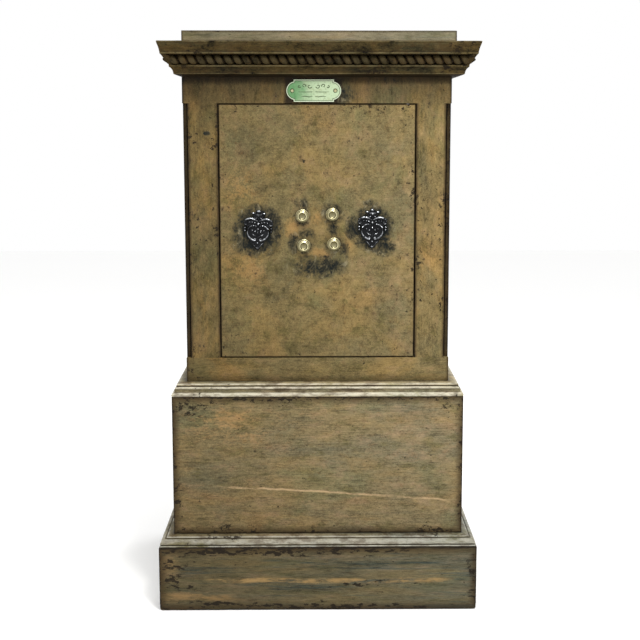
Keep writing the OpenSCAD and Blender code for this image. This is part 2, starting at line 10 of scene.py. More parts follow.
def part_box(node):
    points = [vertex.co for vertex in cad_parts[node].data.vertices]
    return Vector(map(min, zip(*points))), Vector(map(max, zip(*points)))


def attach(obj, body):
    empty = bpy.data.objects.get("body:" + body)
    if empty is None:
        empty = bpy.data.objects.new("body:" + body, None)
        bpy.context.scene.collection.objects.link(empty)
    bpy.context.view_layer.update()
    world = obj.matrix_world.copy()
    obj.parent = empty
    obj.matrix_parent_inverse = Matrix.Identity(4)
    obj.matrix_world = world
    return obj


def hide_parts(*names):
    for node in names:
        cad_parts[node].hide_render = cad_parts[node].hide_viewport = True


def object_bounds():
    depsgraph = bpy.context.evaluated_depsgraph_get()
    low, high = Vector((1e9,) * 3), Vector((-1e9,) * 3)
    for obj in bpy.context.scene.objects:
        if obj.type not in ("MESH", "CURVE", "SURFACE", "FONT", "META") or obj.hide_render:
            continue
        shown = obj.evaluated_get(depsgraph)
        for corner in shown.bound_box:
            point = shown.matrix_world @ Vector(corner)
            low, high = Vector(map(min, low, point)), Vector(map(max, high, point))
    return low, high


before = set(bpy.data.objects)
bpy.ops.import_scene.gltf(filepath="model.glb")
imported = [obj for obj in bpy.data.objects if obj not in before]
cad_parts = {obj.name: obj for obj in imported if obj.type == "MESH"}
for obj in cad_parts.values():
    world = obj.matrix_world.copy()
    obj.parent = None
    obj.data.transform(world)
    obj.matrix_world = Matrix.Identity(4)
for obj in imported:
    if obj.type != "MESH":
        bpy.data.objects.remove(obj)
cad_low, cad_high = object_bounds()

MM = 0.001

# Driving planes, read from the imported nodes, in metres.
body_lo, body_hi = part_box("casing_side_plates")
rail_lo, rail_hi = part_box("frame_top_rail")
door_lo, door_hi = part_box("door_front_plate")
HALF_W = body_hi.x
FRONT_Y = rail_lo.y
BACK_Y = body_hi.y


# ---------------------------------------------------------------- camera, light, floor

def placed(name, data):
    """A new object in the scene."""
    obj = bpy.data.objects.new(name, data)
    bpy.context.collection.objects.link(obj)
    return obj


def mesh_of(name, bm):
    """A mesh from a bmesh, which it frees."""
    mesh = bpy.data.meshes.new(name)
    bm.to_mesh(mesh)
    bm.free()
    return mesh


def camera():
    """The photograph's viewpoint: level with the cornice, just over three metres off."""
    cam = bpy.data.cameras.new("camera")
    cam.sensor_width = 36.0
    cam.lens = 72.2
    cam.shift_x = -0.0253
    cam.shift_y = -0.0028
    obj = placed("camera", cam)
    obj.location = (0.0008, -2.9993, 1.0596)
    obj.rotation_euler = (math.pi / 2 - 0.1485, 0.0, -0.0144)
    bpy.context.scene.camera = obj


def area_light(name, place, target, size, power, tint=(1.0, 1.0, 1.0)):
    light = bpy.data.lights.new(name, "AREA")
    light.shape = "DISK"
    light.size = size
    light.energy = power
    light.color = tint
    obj = placed(name, light)
    obj.location = place
    obj.rotation_euler = (Vector(target) - Vector(place)).to_track_quat("-Z", "Y").to_euler()


def lights():
    """A small key high in front, a weaker one from the left, a top light and a pale room."""
    area_light("key", (0.75, -2.3, 3.3), (0.0, -0.2, 0.7), 0.5, 46.0, (1.0, 0.98, 0.95))
    area_light("fill", (-0.9, -2.3, 3.0), (0.0, -0.2, 0.7), 0.45, 16.0, (0.97, 0.98, 1.0))
    area_light("top", (0.2, -0.9, 3.1), (0.0, -0.2, 0.9), 0.9, 30.0)
    area_light("rim", (1.6, 2.2, 2.2), (0.0, 0.0, 0.8), 1.6, 22.0)
    world = bpy.data.worlds.new("studio")
    world.use_nodes = True
    background = world.node_tree.nodes["Background"]
    background.inputs["Color"].default_value = (1.0, 1.0, 1.0, 1.0)
    background.inputs["Strength"].default_value = 1.0
    bpy.context.scene.world = world


def floor():
    bm = bmesh.new()
    bmesh.ops.create_grid(bm, x_segments=2, y_segments=2, size=8.0)
    mesh = mesh_of("floor", bm)
    obj = placed("floor", mesh)
    obj.location.z = cad_low.z - 0.0005
    g = Graph("floor_pale")
    g.shader(base=(0.955, 0.955, 0.95, 1.0), rough=0.8)
    mesh.materials.append(g.material)


# ---------------------------------------------------------------- shader helpers

def srgb(r, g, b):
    """An 8-bit display colour as the linear one a shader wants."""
    def one(c):
        c /= 255.0
        return c / 12.92 if c <= 0.04045 else ((c + 0.055) / 1.055) ** 2.4
    return (one(r), one(g), one(b), 1.0)


class Graph:
    """A material and short ways to add nodes to it. Object space is the safe's own frame."""

    def __init__(self, name):
        self.material = bpy.data.materials.new(name)
        self.material.use_nodes = True
        self.tree = self.material.node_tree
        self.bsdf = self.tree.nodes["Principled BSDF"]
        self.place = self.tree.nodes.new("ShaderNodeTexCoord").outputs["Object"]

    def plug(self, socket, value):
        if isinstance(value, bpy.types.NodeSocket):
            self.tree.links.new(value, socket)
        else:
            socket.default_value = value

    def node(self, kind, **inputs):
        """A new node; the words of an input's name are joined by underscores."""
        n = self.tree.nodes.new("ShaderNode" + kind)
        for name, value in inputs.items():
            self.plug(n.inputs[name.replace("_", " ")], value)
        return n

    def math(self, op, a, b=0.0, c=0.0, clamp=False):
        n = self.node("Math")
        n.operation = op
        n.use_clamp = clamp
        for socket, value in zip(n.inputs, (a, b, c)):
            self.plug(socket, value)
        return n.outputs[0]

    def times(self, a, b, clamp=False):
        return self.math("MULTIPLY", a, b, clamp=clamp)

    def plus(self, a, b):
        return self.math("ADD", a, b)

    def minus(self, a, b):
        return self.math("SUBTRACT", a, b)

    def scaled(self, a, by, plus):
        return self.math("MULTIPLY_ADD", a, by, plus)

    def most(self, a, b, clamp=False):
        return self.math("MAXIMUM", a, b, clamp=clamp)

    def mix(self, fac, a, b, blend="MIX"):
        n = self.node("Mix")
        n.data_type = "RGBA"
        n.blend_type = blend
        for name, value in (("Factor", fac), ("A", a), ("B", b)):
            self.plug(n.inputs[name], value)
        return n.outputs["Result"]

    def stain(self, base, layer, start, full, amount, hue):
        """base with a hue over it, as the layer goes from start to full."""
        return self.mix(self.times(self.smooth(layer, start, full), amount), base, hue)

    def noise(self, scale, detail=3.0, rough=0.55, at=None, distort=0.0):
        return self.node("TexNoise", Vector=at or self.place, Scale=scale, Detail=detail,
                         Roughness=rough, Distortion=distort).outputs["Fac"]

    def stretched(self, x, y, z, shift=0.0):
        """Object space stretched by (x, y, z) and moved on, so that noises differ."""
        moved = (shift, shift, shift)
        return self.node("Mapping", Vector=self.place, Scale=(x, y, z), Location=moved).outputs[0]

    def smooth(self, value, low, high):
        """0 below low, 1 above high (or the reverse when low > high)."""
        flip = low > high
        n = self.node("MapRange", Value=value, From_Min=min(low, high), From_Max=max(low, high),
                      To_Min=1.0 if flip else 0.0, To_Max=0.0 if flip else 1.0)
        n.interpolation_type = "SMOOTHSTEP"
        return n.outputs["Result"]

    def xyz(self):
        return self.node("SeparateXYZ", Vector=self.place).outputs

    def attribute(self, name):
        n = self.node("Attribute")
        n.attribute_name = name
        return n.outputs["Fac"]

    def box_edge(self, lo, hi):
        """Distance in metres, over the faces of a box, to its nearest edge."""
        sides = []
        for v, a, b in zip(self.xyz(), lo, hi):
            inside = self.math("MINIMUM", self.minus(v, a), self.minus(b, v))
            sides.append(self.math("ABSOLUTE", inside))
        small = self.math("MINIMUM", sides[0], sides[1])
        large = self.most(sides[0], sides[1])
        return self.most(small, self.math("MINIMUM", large, sides[2]))

    def bump(self, height, strength, distance, under=None):
        n = self.node("Bump", Strength=strength, Distance=distance, Height=height)
        if under is not None:
            self.plug(n.inputs["Normal"], under)
        return n.outputs[0]

    def shader(self, base, rough, metal=0.0, normal=None, gloss=0.5):
        self.plug(self.bsdf.inputs["Base Color"], base)
        self.plug(self.bsdf.inputs["Roughness"], rough)
        self.plug(self.bsdf.inputs["Metallic"], metal)
        if normal is not None:
            self.plug(self.bsdf.inputs["Normal"], normal)
        self.bsdf.inputs["Specular IOR Level"].default_value = gloss
        return self.material


# ---------------------------------------------------------------- paints and metals

# The hues that lie over and under one another in the old paint.
KHAKI = srgb(134, 119, 84)
OCHRE = srgb(146, 119, 72)
ORANGE = srgb(170, 122, 70)
PINK = srgb(142, 118, 92)
OLIVE = srgb(112, 104, 64)
SLATE = srgb(108, 108, 88)
TEAL = srgb(68, 84, 78)
UMBER = srgb(66, 50, 26)
SOOT = srgb(24, 18, 11)
GREASE = srgb(16, 21, 20)
SMUT = srgb(58, 54, 38)
BUFF = srgb(190, 182, 158)
PRIMER = srgb(196, 152, 96)
MOSS = srgb(106, 112, 80)
PEACH = srgb(226, 194, 148)
AMBER = srgb(232, 182, 112)
SHADE = (0.25, 0.22, 0.20, 1.0)


def look(gain, cool, warm, streak, grain, speck, brush, lean=0.32, mottle=1.0):
    """gain multiplies the colour; cool, warm and streak are how much of each hue shows; grain is the
    noises' (x, y, z) scale, which draws patches out along a board; speck, brush and mottle are the
    depth of fine, combed and broad unevenness; lean is how much darker the left side is: painted shade."""
    return dict(gain=gain, cool=cool, warm=warm, streak=streak, grain=grain, speck=speck,
                brush=brush, lean=lean, mottle=mottle)


LOOKS = {
    "door": look((0.65, 0.63, 0.54), 0.4, 0.35, 0.0, (1, 1, 1), 0.8, 0.6, mottle=1.35),
    "frame": look((0.66, 0.615, 0.50), 0.35, 0.45, 0.0, (1.3, 1.3, 0.8), 0.8, 0.8, 0.40, 1.6),
    "rail": look((0.66, 0.615, 0.50), 0.35, 0.45, 0.12, (0.7, 0.7, 1.5), 0.8, 0.9, 0.40, 1.6),
    "side": look((0.64, 0.61, 0.54), 0.55, 0.5, 0.3, (1, 1, 1), 1.0, 0.5, mottle=1.3),
    "pedestal": look((0.70, 0.69, 0.69), 0.45, 0.35, 0.12, (0.7, 0.7, 1.6), 0.7, 1.4),
    "plinth": look((0.40, 0.43, 0.465), 0.7, 0.4, 0.8, (0.4, 0.4, 2.4), 0.7, 1.6, 0.34, 1.2),
    "cap": look((0.80, 0.89, 1.10), 0.5, 0.25, 0.3, (0.5, 0.5, 2.0), 0.5, 0.9),
    "ridge": look((1.20, 1.26, 1.42), 0.5, 0.25, 0.3, (0.5, 0.5, 1.5), 0.7, 0.8),
    "low_ridge": look((0.82, 0.90, 1.09), 0.7, 0.2, 0.4, (0.5, 0.5, 1.5), 0.7, 0.8),
    # The cornice's and the rope's gains are very dark: partly darker paint, partly painted shade on the
    # outward-leaning cornice.
    "cornice": look((0.205, 0.187, 0.125), 0.6, 0.5, 0.4, (0.8, 0.8, 1.6), 1.2, 1.0, 0.20, 4.5),
    "rope": look((0.115, 0.098, 0.060), 0.6, 0.4, 0.1, (1, 1, 1), 1.0, 0.0, 0.20, 2.5),
}


class Paint(Graph):
    """Old mottled paint. base is its colour so far; dirt_and_shade is how far each place is blackened, by
    soiling and by painted shade.
    """

    def __init__(self, name, look_name):
        super().__init__(name)
        self.k = LOOKS[look_name]
        self.x, self.y, self.z = self.xyz()
        self.dirt_and_shade = 0.0
        self.coat()
        self.tone()
        ragged = self.scaled(self.fleck, 2.4, self.scaled(self.fine, 2.4, -3.4))
        self.ragged = self.scaled(self.blot, 2.0, ragged)

    def at(self, shift):
        return self.stretched(*self.k["grain"], shift)

    def toward(self, amount, hue, blend="MIX"):
        self.base = self.mix(amount, self.base, hue, blend)

    def own(self, hue):
        """A hue as this look shows it."""
        return self.mix(1.0, hue, (*self.k["gain"], 1.0), "MULTIPLY")

    def blacken(self, amount):
        self.dirt_and_shade = self.most(self.dirt_and_shade, amount)

    def coat(self):
        """The coat's hues, laid over khaki one by one, each by a noise of its own size."""
        cool, warm, drawn = self.k["cool"], self.k["warm"], self.k["streak"]
        lying = self.k["grain"][2] >= 1
        squash = (1.4, 1.4, 34.0) if lying else (30.0, 30.0, 1.6)
        combed = (16.0, 16.0, 260.0) if lying else (260.0, 260.0, 16.0)
        cloud = self.noise(4.0, 4.0, 0.55, at=self.at(0.0), distort=0.6)
        self.patch = self.noise(10.0, 6.0, 0.62, at=self.at(3.1), distort=0.5)
        self.blot = self.noise(26.0, 5.0, 0.68, at=self.at(7.7), distort=0.3)
        self.fleck = self.noise(64.0, 5.0, 0.7, at=self.at(1.9))
        self.fine = self.noise(190.0, 3.0, 0.75, at=self.at(5.3))
        self.grit = self.noise(470.0, 2.0, 0.7)
        self.brush = self.noise(1.5, 3.0, 0.7, at=self.stretched(*combed, 9.1))
        streak = self.noise(2.2, 7.0, 0.72, at=self.stretched(*squash, 3.7), distort=0.15)
        drift = self.noise(6.5, 4.0, 0.55, at=self.at(11.3), distort=0.9)
        self.base = KHAKI
        for hue, layer, start, full, amount in (
                (SLATE, cloud, 0.42, 0.62, cool), (OCHRE, self.patch, 0.46, 0.62, warm),
                (ORANGE, drift, 0.54, 0.70, 0.17), (MOSS, drift, 0.47, 0.32, 0.38),
                (PINK, self.blot, 0.52, 0.66, 0.4), (OLIVE, self.blot, 0.47, 0.34, 0.55),
                (SLATE, self.patch, 0.44, 0.30, 0.8 * cool), (TEAL, streak, 0.50, 0.66, drawn),
                (OCHRE, streak, 0.42, 0.30, 0.5 * drawn), (UMBER, self.fleck, 0.55, 0.72, 0.28),
                (UMBER, self.brush, 0.54, 0.70, 0.6 * drawn), (ORANGE, self.fine, 0.40, 0.28, 0.35)):
            self.base = self.stain(self.base, layer, start, full, amount, hue)

    def tone(self):
        """Lightness: uneven at every size; and painted light and shade, warmer and darker towards the
        left, cooler and lighter towards the right, as the light falls from the right.
        """
        k = self.k
        light = 1.0
        for layer, weight in ((self.patch, 0.7 * k["mottle"]), (self.blot, 0.9 * k["mottle"]),
                              (self.fleck, -0.8), (self.fine, 1.9 * k["speck"]),
                              (self.grit, 1.6 * k["speck"]), (self.brush, k["brush"])):
            light = self.scaled(self.minus(layer, 0.5), weight, light)
        # Painted light: each channel is scaled from dark on the left to light on the right, the blue
        # most.
        rightward = self.smooth(self.x, -0.34, 0.30)
        tint = self.node("CombineColor")
        for socket, gain, cooler in zip(tint.inputs[:3], k["gain"], (0.0, 0.02, 0.07)):
            lean = k["lean"] + 2.2 * cooler
            painted_side_light = self.scaled(rightward, lean, 1.10 + cooler - lean)
            self.plug(socket, self.times(self.times(light, painted_side_light), gain))
        self.toward(1.0, tint.outputs[0], "MULTIPLY")

    def field(self, spots):
        """1 in the middle of each elliptical spot, 0 at its rim: (x, z, rx, rz, strength)."""
        field = 0.0
        for cx, cz, rx, rz, strength in spots:
            dx = self.times(self.minus(self.x, cx), 1.0 / rx)
            dz = self.times(self.minus(self.z, cz), 1.0 / rz)
            far = self.math("SQRT", self.scaled(dx, dx, self.times(dz, dz)))
            field = self.most(field, self.scaled(far, -strength, strength))
        return field

    def bands(self, bands):
        """Drawn-out streaks of a hue."""
        for height, half, x0, x1, tilt, hue in bands:
            wander = self.noise(6.0, 6.0, 0.66, at=self.stretched(1.0, 1.0, 0.2, height))
            wave = self.scaled(wander, 0.022, self.minus(self.z, height + 0.011))
            wave = self.scaled(self.x, -tilt, wave)
            across = self.smooth(self.math("ABSOLUTE", wave), half, 0.2 * half)
            along = self.times(self.smooth(self.x, x0, x0 + 0.05), self.smooth(self.x, x1, x1 - 0.05))
            broken = self.noise(16.0, 6.0, 0.78, at=self.stretched(0.9, 0.9, 5.0, height))
            broken = self.times(self.smooth(broken, 0.40, 0.60), 0.70)
            self.toward(self.times(self.times(across, along), broken), self.own(hue))

    def bare(self, spots):
        """Places where primer shows."""
        field = self.field(spots)
        warm = self.smooth(self.plus(field, self.ragged), 0.05, 0.95)
        warm = self.times(warm, self.scaled(self.smooth(field, 0.0, 0.3), 0.26, 0.12))
        self.toward(warm, self.own(PRIMER))

    def edges(self, box, edge):
        """A soiled line and a halo along a box's edges. Gives how likely the paint is to flake."""
        reach = self.box_edge(*box)
        wander = self.scaled(self.fleck, 0.010 * edge, -0.0042 * edge)
        line = self.smooth(self.minus(reach, wander), 0.0022 * edge, -0.0006 * edge)
        self.blacken(self.times(line, 0.92))
        halo = self.times(self.smooth(reach, 0.018 * edge, 0.0), self.scaled(self.blot, 1.6, 0.15))
        self.toward(self.times(halo, 0.9, clamp=True), self.mix(0.5, UMBER, SOOT))
        patchy = self.smooth(self.noise(7.0, 3.0, 0.6), 0.40, 0.62)
        return self.most(self.times(self.smooth(reach, 0.040, 0.002), patchy), 0.12)

    def chips(self, where, spots, amount):
        """Black chips, more of them where `where` is high or in the spots."""
        if spots:
            where = self.most(where, self.field(spots), clamp=True)
        long_way = 1.0 / max(self.k["grain"][2], 1.0)
        speck = self.noise(95.0, 5.0, 0.75, at=self.stretched(long_way, long_way, 1.0, 2.6))
        limit = self.scaled(where, -0.14 * amount, 0.665)
        self.blacken(self.times(self.smooth(self.minus(speck, limit), 0.0, 0.03), 0.9))

    def hollows(self):
        """Soiling and painted shade in the mesh's own hollows, and paint rubbed pale on its ridges,
        partly a painted highlight.
        """
        cavity = self.attribute("cavity")
        hollow = self.times(cavity, self.scaled(self.blot, 0.9, 0.5))
        self.blacken(self.math("MINIMUM", hollow, 0.93))
        ridge = self.times(self.smooth(cavity, 0.2, 0.0), self.smooth(self.blot, 0.30, 0.55))
        self.toward(self.times(ridge, 0.6), self.own(BUFF))
        soiled = self.smooth(self.plus(self.fleck, self.times(self.blot, 0.6)), 0.76, 0.96)
        self.toward(self.times(soiled, 0.6), UMBER)

    def shades(self, shade):
        """Darkening that deepens along an axis from one place to another: painted shade in the side
        plates' rebates and painted shadow under the cornice; elsewhere just darker towards the bottom.
        """
        for axis, start, end, amount in shade:
            deep = self.scaled(self.blot, 0.3 * (end - start), (self.x, self.y, self.z)[axis])
            self.toward(self.times(self.smooth(deep, start, end), amount), SHADE, "MULTIPLY")

    def around(self, lo, hi):
        """Darkening close round a fitting."""
        middle, half = (lo + hi) / 2, (hi - lo) / 2
        dx = self.minus(self.math("ABSOLUTE", self.minus(self.x, middle.x)), half.x)
        dz = self.minus(self.math("ABSOLUTE", self.minus(self.z, middle.z)), half.z)
        off = self.scaled(self.fleck, -0.012, self.plus(self.most(dx, dz), 0.006))
        off = self.scaled(self.blot, -0.012, self.plus(off, 0.006))
        self.blacken(self.times(self.smooth(off, 0.008, 0.0), 0.9))

    def handled(self, spots):
        """Places that hands and keys have blackened, scraped and wiped."""
        field = self.field(spots)
        near = self.plus(field, self.ragged)
        wipe = self.noise(30.0, 6.0, 0.75, at=self.stretched(1.6, 1.0, 0.8, 4.4), distort=1.2)
        haze = self.times(self.smooth(near, -0.35, 0.70), self.smooth(field, 0.0, 0.30))
        self.toward(self.times(haze, 0.72), SMUT)
        scrape = self.times(self.smooth(wipe, 0.54, 0.66), self.smooth(field, 0.05, 0.35))
        self.toward(self.times(scrape, 0.42), self.own(BUFF))
        core = self.times(self.smooth(near, 0.20, 1.15), self.scaled(self.fine, 0.9, 0.50))
        core = self.times(core, self.scaled(self.smooth(wipe, 0.60, 0.42), 0.45, 0.55))
        self.toward(self.times(core, 1.08, clamp=True), GREASE)

    def surface(self, gloss):
        rough = self.scaled(self.patch, 0.25, 0.42)
        relief = self.bump(self.scaled(self.blot, 1.5, self.times(self.fleck, 0.6)), 0.25, 0.0014)
        height = self.scaled(self.fine, 1.0, self.times(self.grit, 0.6))
        height = self.minus(height, self.times(self.dirt_and_shade, 1.5))
        relief = self.bump(height, 0.35, 0.0005, under=relief)
        return self.shader(self.base, rough, normal=relief, gloss=gloss)


def aged_paint(name, look_name, box=None, edge=1.0, chips=1.0, spots=(), warm_spots=(), chip_spots=(),
               bands=(), cavity=False, shade=(), around=None, gloss=0.10):
    """Old paint on a board or a moulding. box is the (low, high) whose edges show wear; spots are
    where handling has blackened it, warm_spots where primer shows and chip_spots where it is
    flaked; bands are (height, half height, x from, x to, tilt, hue); cavity reads the mesh's own
    'cavity' attribute, soiling and painted shade; shade is a list of (axis, from, to, amount) for
    darkening along an axis, partly painted shade; around is the (low, high) of a fitting with
    darkening close round it."""
    g = Paint(name, look_name)
    g.bands(bands)
    if warm_spots:
        g.bare(warm_spots)
    where = g.smooth(g.noise(7.0, 2.0), 0.5, 0.68) if box is None else g.edges(box, edge)
    g.chips(where, chip_spots, chips)
    if cavity:
        g.hollows()
    g.shades(shade)
    if around is not None:
        g.around(*around)
    g.toward(g.dirt_and_shade, SOOT)
    if spots:
        g.handled(spots)
    return g.surface(gloss)


def brass(name, tint=(0.62, 0.57, 0.34, 1.0), dull=(0.34, 0.28, 0.14, 1.0), amount=0.5):
    g = Graph(name)
    cloud = g.noise(60.0, 4.0, 0.6)
    base = g.stain(tint, cloud, 0.45, 0.70, amount, dull)
    # The 'cavity' attribute darkens it: soiling, and on the knobs painted shade in the dish and on their
    # lower sides.
    base = g.mix(g.times(g.attribute("cavity"), 0.9), base, (0.075, 0.060, 0.02, 1.0))
    return g.shader(base, g.scaled(cloud, 0.20, 0.20), metal=1.0)


def plate_brass(name, box):
    """The nameplate's old brass: green on its left, almost white on its right."""
    g = Graph(name)
    lo, hi = box
    width = hi.x - lo.x
    cloud = g.noise(26.0, 5.0, 0.65, distort=0.4)
    fine = g.noise(260.0, 3.0, 0.65)
    across = g.scaled(cloud, 0.8 * width, g.xyz()[0])
    pale = g.smooth(across, lo.x + 0.45 * width, lo.x + 1.05 * width)
    base = g.mix(pale, srgb(92, 138, 90), srgb(176, 194, 158))
    base = g.stain(base, cloud, 0.52, 0.68, 0.5, srgb(138, 146, 104))
    base = g.stain(base, fine, 0.5, 0.7, 0.4, srgb(84, 100, 66))
    base = g.mix(g.times(g.attribute("cavity"), 0.85), base, srgb(40, 52, 30))
    # wear_and_glint paints the rim's bevel pale: rubbed brass and partly a painted highlight.
    base = g.mix(g.times(g.attribute("wear_and_glint"), 0.7), base, srgb(214, 222, 196))
    relief = g.bump(g.plus(cloud, g.times(fine, 0.4)), 0.12, 0.0003)
    return g.shader(base, g.scaled(cloud, 0.2, 0.26), metal=0.35, normal=relief, gloss=0.4)


def black_casting(name):
    """Black japan with painted highlights: bright metal on the proud ridges that face up towards the
    lights, which the mesh marks 'wear_and_glint', partly rubbed metal and partly painted glints.
    """
    g = Graph(name)
    cloud = g.noise(70.0, 3.0, 0.5)
    base = g.mix(g.smooth(cloud, 0.4, 0.7), srgb(7, 8, 11), srgb(22, 24, 27))
    wear_and_glint = g.times(g.attribute("wear_and_glint"), g.smooth(g.noise(150.0, 3.0, 0.6), 0.36, 0.60))
    base = g.mix(wear_and_glint, base, srgb(206, 210, 214))
    return g.shader(base, g.scaled(cloud, 0.12, 0.18), metal=wear_and_glint, gloss=0.18)


def bare_iron(name, tone=(0.22, 0.22, 0.23, 1.0)):
    g = Graph(name)
    cloud = g.noise(22.0, 5.0, 0.6)
    brush = g.noise(60.0, 3.0, 0.6, at=g.stretched(1.0, 1.0, 14.0))
    base = g.mix(g.smooth(cloud, 0.45, 0.72), tone, srgb(78, 56, 40))
    base = g.mix(g.times(brush, 0.3), base, srgb(150, 150, 152))
    relief = g.bump(brush, 0.2, 0.0004)
    return g.shader(base, g.scaled(cloud, 0.25, 0.28), metal=0.9, normal=relief)


def lining(name):
    """The compartment's dark red-brown oil paint."""
    g = Graph(name)
    cloud = g.noise(9.0, 5.0, 0.6)
    small = g.noise(90.0, 4.0, 0.6)
    base = g.mix(g.smooth(cloud, 0.4, 0.65), srgb(92, 48, 34), srgb(70, 38, 28))
    base = g.stain(base, small, 0.55, 0.7, 0.5, srgb(46, 30, 22))
    relief = g.bump(g.plus(small, cloud), 0.2, 0.0006)
    return g.shader(base, g.scaled(cloud, 0.2, 0.4), normal=relief)


def sawn_wood(name):
    g = Graph(name)
    grain = g.noise(9.0, 6.0, 0.6, at=g.stretched(1.0, 9.0, 9.0), distort=0.8)
    pores = g.noise(160.0, 2.0, 0.6, at=g.stretched(0.15, 1.0, 1.0))
    base = g.mix(g.smooth(grain, 0.35, 0.68), srgb(150, 108, 66), srgb(98, 64, 36))
    base = g.stain(base, pores, 0.55, 0.75, 0.4, srgb(60, 38, 22))
    relief = g.bump(g.plus(grain, pores), 0.25, 0.0006)
    return g.shader(base, g.scaled(grain, 0.2, 0.55), normal=relief)


def mineral(name):
    g = Graph(name)
    cloud = g.noise(24.0, 6.0, 0.7)
    base = g.mix(cloud, srgb(206, 200, 186), srgb(158, 150, 134))
    return g.shader(base, 0.9, normal=g.bump(cloud, 0.4, 0.002))


# ---------------------------------------------------------------- mesh helpers

def finish_piece(name, bm, material, body, nodes=(), sharp=38.0):
    """Turns a bmesh into a piece that rides on a body and stands for the given CAD nodes."""
    bmesh.ops.recalc_face_normals(bm, faces=bm.faces)
    mesh = mesh_of(name, bm)
    mesh.materials.append(material)
    mesh.shade_smooth()
    mesh.set_sharp_from_angle(angle=math.radians(sharp))
    obj = placed(name, mesh)
    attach(obj, body)
    if nodes:
        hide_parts(*nodes)
    return obj


def solids_of(node):
    """The (low, high) corners of each separate solid of a CAD node."""
    bm = bmesh.new()
    bm.from_mesh(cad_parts[node].data)
    bmesh.ops.remove_doubles(bm, verts=bm.verts, dist=1e-6)
    left = set(bm.verts)
    boxes = []
    while left:
        stack = [left.pop()]
        group = []
        while stack:
            v = stack.pop()
            group.append(v.co.copy())
            for e in v.link_edges:
                w = e.other_vert(v)
                if w in left:
                    left.remove(w)
                    stack.append(w)
        boxes.append((Vector(min(c[i] for c in group) for i in range(3)),
                      Vector(max(c[i] for c in group) for i in range(3))))
    bm.free()
    return sorted(boxes, key=lambda b: tuple(b[0]))


def axis_stops(lo, hi, r, step):
    """Lattice places along one side of a board: close together by the edges."""
    n = max(1, round((hi - lo - 2 * r) / step))
    inner = [lo + r + (hi - lo - 2 * r) * i / n for i in range(n + 1)]
    return [lo, lo + 0.35 * r, lo + 0.7 * r] + inner + [hi - 0.7 * r, hi - 0.35 * r, hi]


def add_board(bm, lo, hi, round_to=2.4 * MM, step=12 * MM, seed=0.0, joints=(), foot=0.0):
    """A board or plate with rounded edges, unevenly rounded by wear, as a closed lattice box. joints are
    heights at which it meets its neighbour tightly, under one coat of paint; foot is how far
    its bottom corners have been knocked round."""
    r = min(round_to, 0.3 * min(hi[i] - lo[i] for i in range(3)))
    stops = [axis_stops(lo[i], hi[i], r, step) for i in range(3)]
    last = [len(s) - 1 for s in stops]
    verts = {}

    def vertex(key):
        if key not in verts:
            p = Vector(stops[i][key[i]] for i in range(3))
            wear_and_glint = noise.noise((p + Vector((seed, 1.7 * seed, 0.3))) * 28.0)
            fine = noise.noise((p + Vector((0.0, seed, seed))) * 110.0)
            rr = r * min(1.0, max(0.22, 0.42 + 0.55 * wear_and_glint + 0.35 * fine))
            if any(abs(p.z - h) < 3 * MM for h in joints):
                rr = min(rr, 0.15 * MM)
            q = Vector(min(max(p[i], lo[i] + rr), hi[i] - rr) for i in range(3))
            d = p - q
            if d.length > 1e-9:
                p = q + d.normalized() * rr
            over = abs(p.x) - (max(abs(lo.x), abs(hi.x)) - foot)
            under = lo.z + foot - p.z
            if foot and over > 0 and under > 0 and math.hypot(over, under) > foot:
                pull = foot / math.hypot(over, under)
                p.x = math.copysign(abs(p.x) - over * (1 - pull), p.x)
                p.z += under * (1 - pull)
            verts[key] = bm.verts.new(p)
        return verts[key]

    for axis in range(3):
        u, v = (axis + 1) % 3, (axis + 2) % 3
        for end in (0, last[axis]):
            for i in range(last[u]):
                for j in range(last[v]):
                    corners = []
                    for di, dj in ((0, 0), (1, 0), (1, 1), (0, 1)):
                        key = [0, 0, 0]
                        key[axis], key[u], key[v] = end, i + di, j + dj
                        corners.append(vertex(tuple(key)))
                    bm.faces.new(corners)


def arc(cx, cz, r, start, end, n):
    """Points on an arc, angles in degrees, in the profile's own plane."""
    for i in range(n + 1):
        a = math.radians(start + (end - start) * i / n)
        yield (cx + r * math.cos(a), cz + r * math.sin(a))


def curve(cx, cz, r, start, end, n, dirt_and_shade=0.0):
    """An arc of a moulding's profile, holding that much soiling and painted shade."""
    return [(x, z, dirt_and_shade) for x, z in arc(cx, cz, r, start, end, n)]


def stations(step):
    """(part, how far along it from 0 to 1) for each ring of a run round three sides."""
    side_n = max(2, int((BACK_Y - FRONT_Y) / step))
    front_n = max(2, int(2 * HALF_W / step))
    found = [("left", i / side_n) for i in range(side_n)]
    found += [("front", i / front_n) for i in range(front_n)]
    return found + [("right", i / side_n) for i in range(side_n + 1)]


def on_run(part, t, out):
    """Where a line so far out from the body's face is, t of the way along a part of the run."""
    wide, front = HALF_W + out, FRONT_Y - out
    if part == "front":
        return wide * (2 * t - 1), front
    if part == "left":
        return -wide, BACK_Y + (front - BACK_Y) * t
    return wide, front + (BACK_Y - front) * t


def shifted(part, t, x, y, shift):
    """A point of the run moved outward, and along too where it is on a mitre."""
    if part == "front":
        return x + math.copysign(shift, x) * abs(2 * t - 1) ** 40, y - shift
    at_mitre = part == "left" and t > 0.999 or part == "right" and t < 0.001
    return x + math.copysign(shift, x), y - shift if at_mitre else y


def weathered(part, p, uneven, middle):
    """A point of the run moved a little, as hand-run mouldings are, and set about the middle."""
    w = noise.noise(p * 55.0) * uneven
    p.z += w
    if part == "front":
        p.y += w
    else:
        p.x += w * math.copysign(1.0, -p.x)
    p.y = min(p.y, BACK_Y)
    p.x += middle
    return p


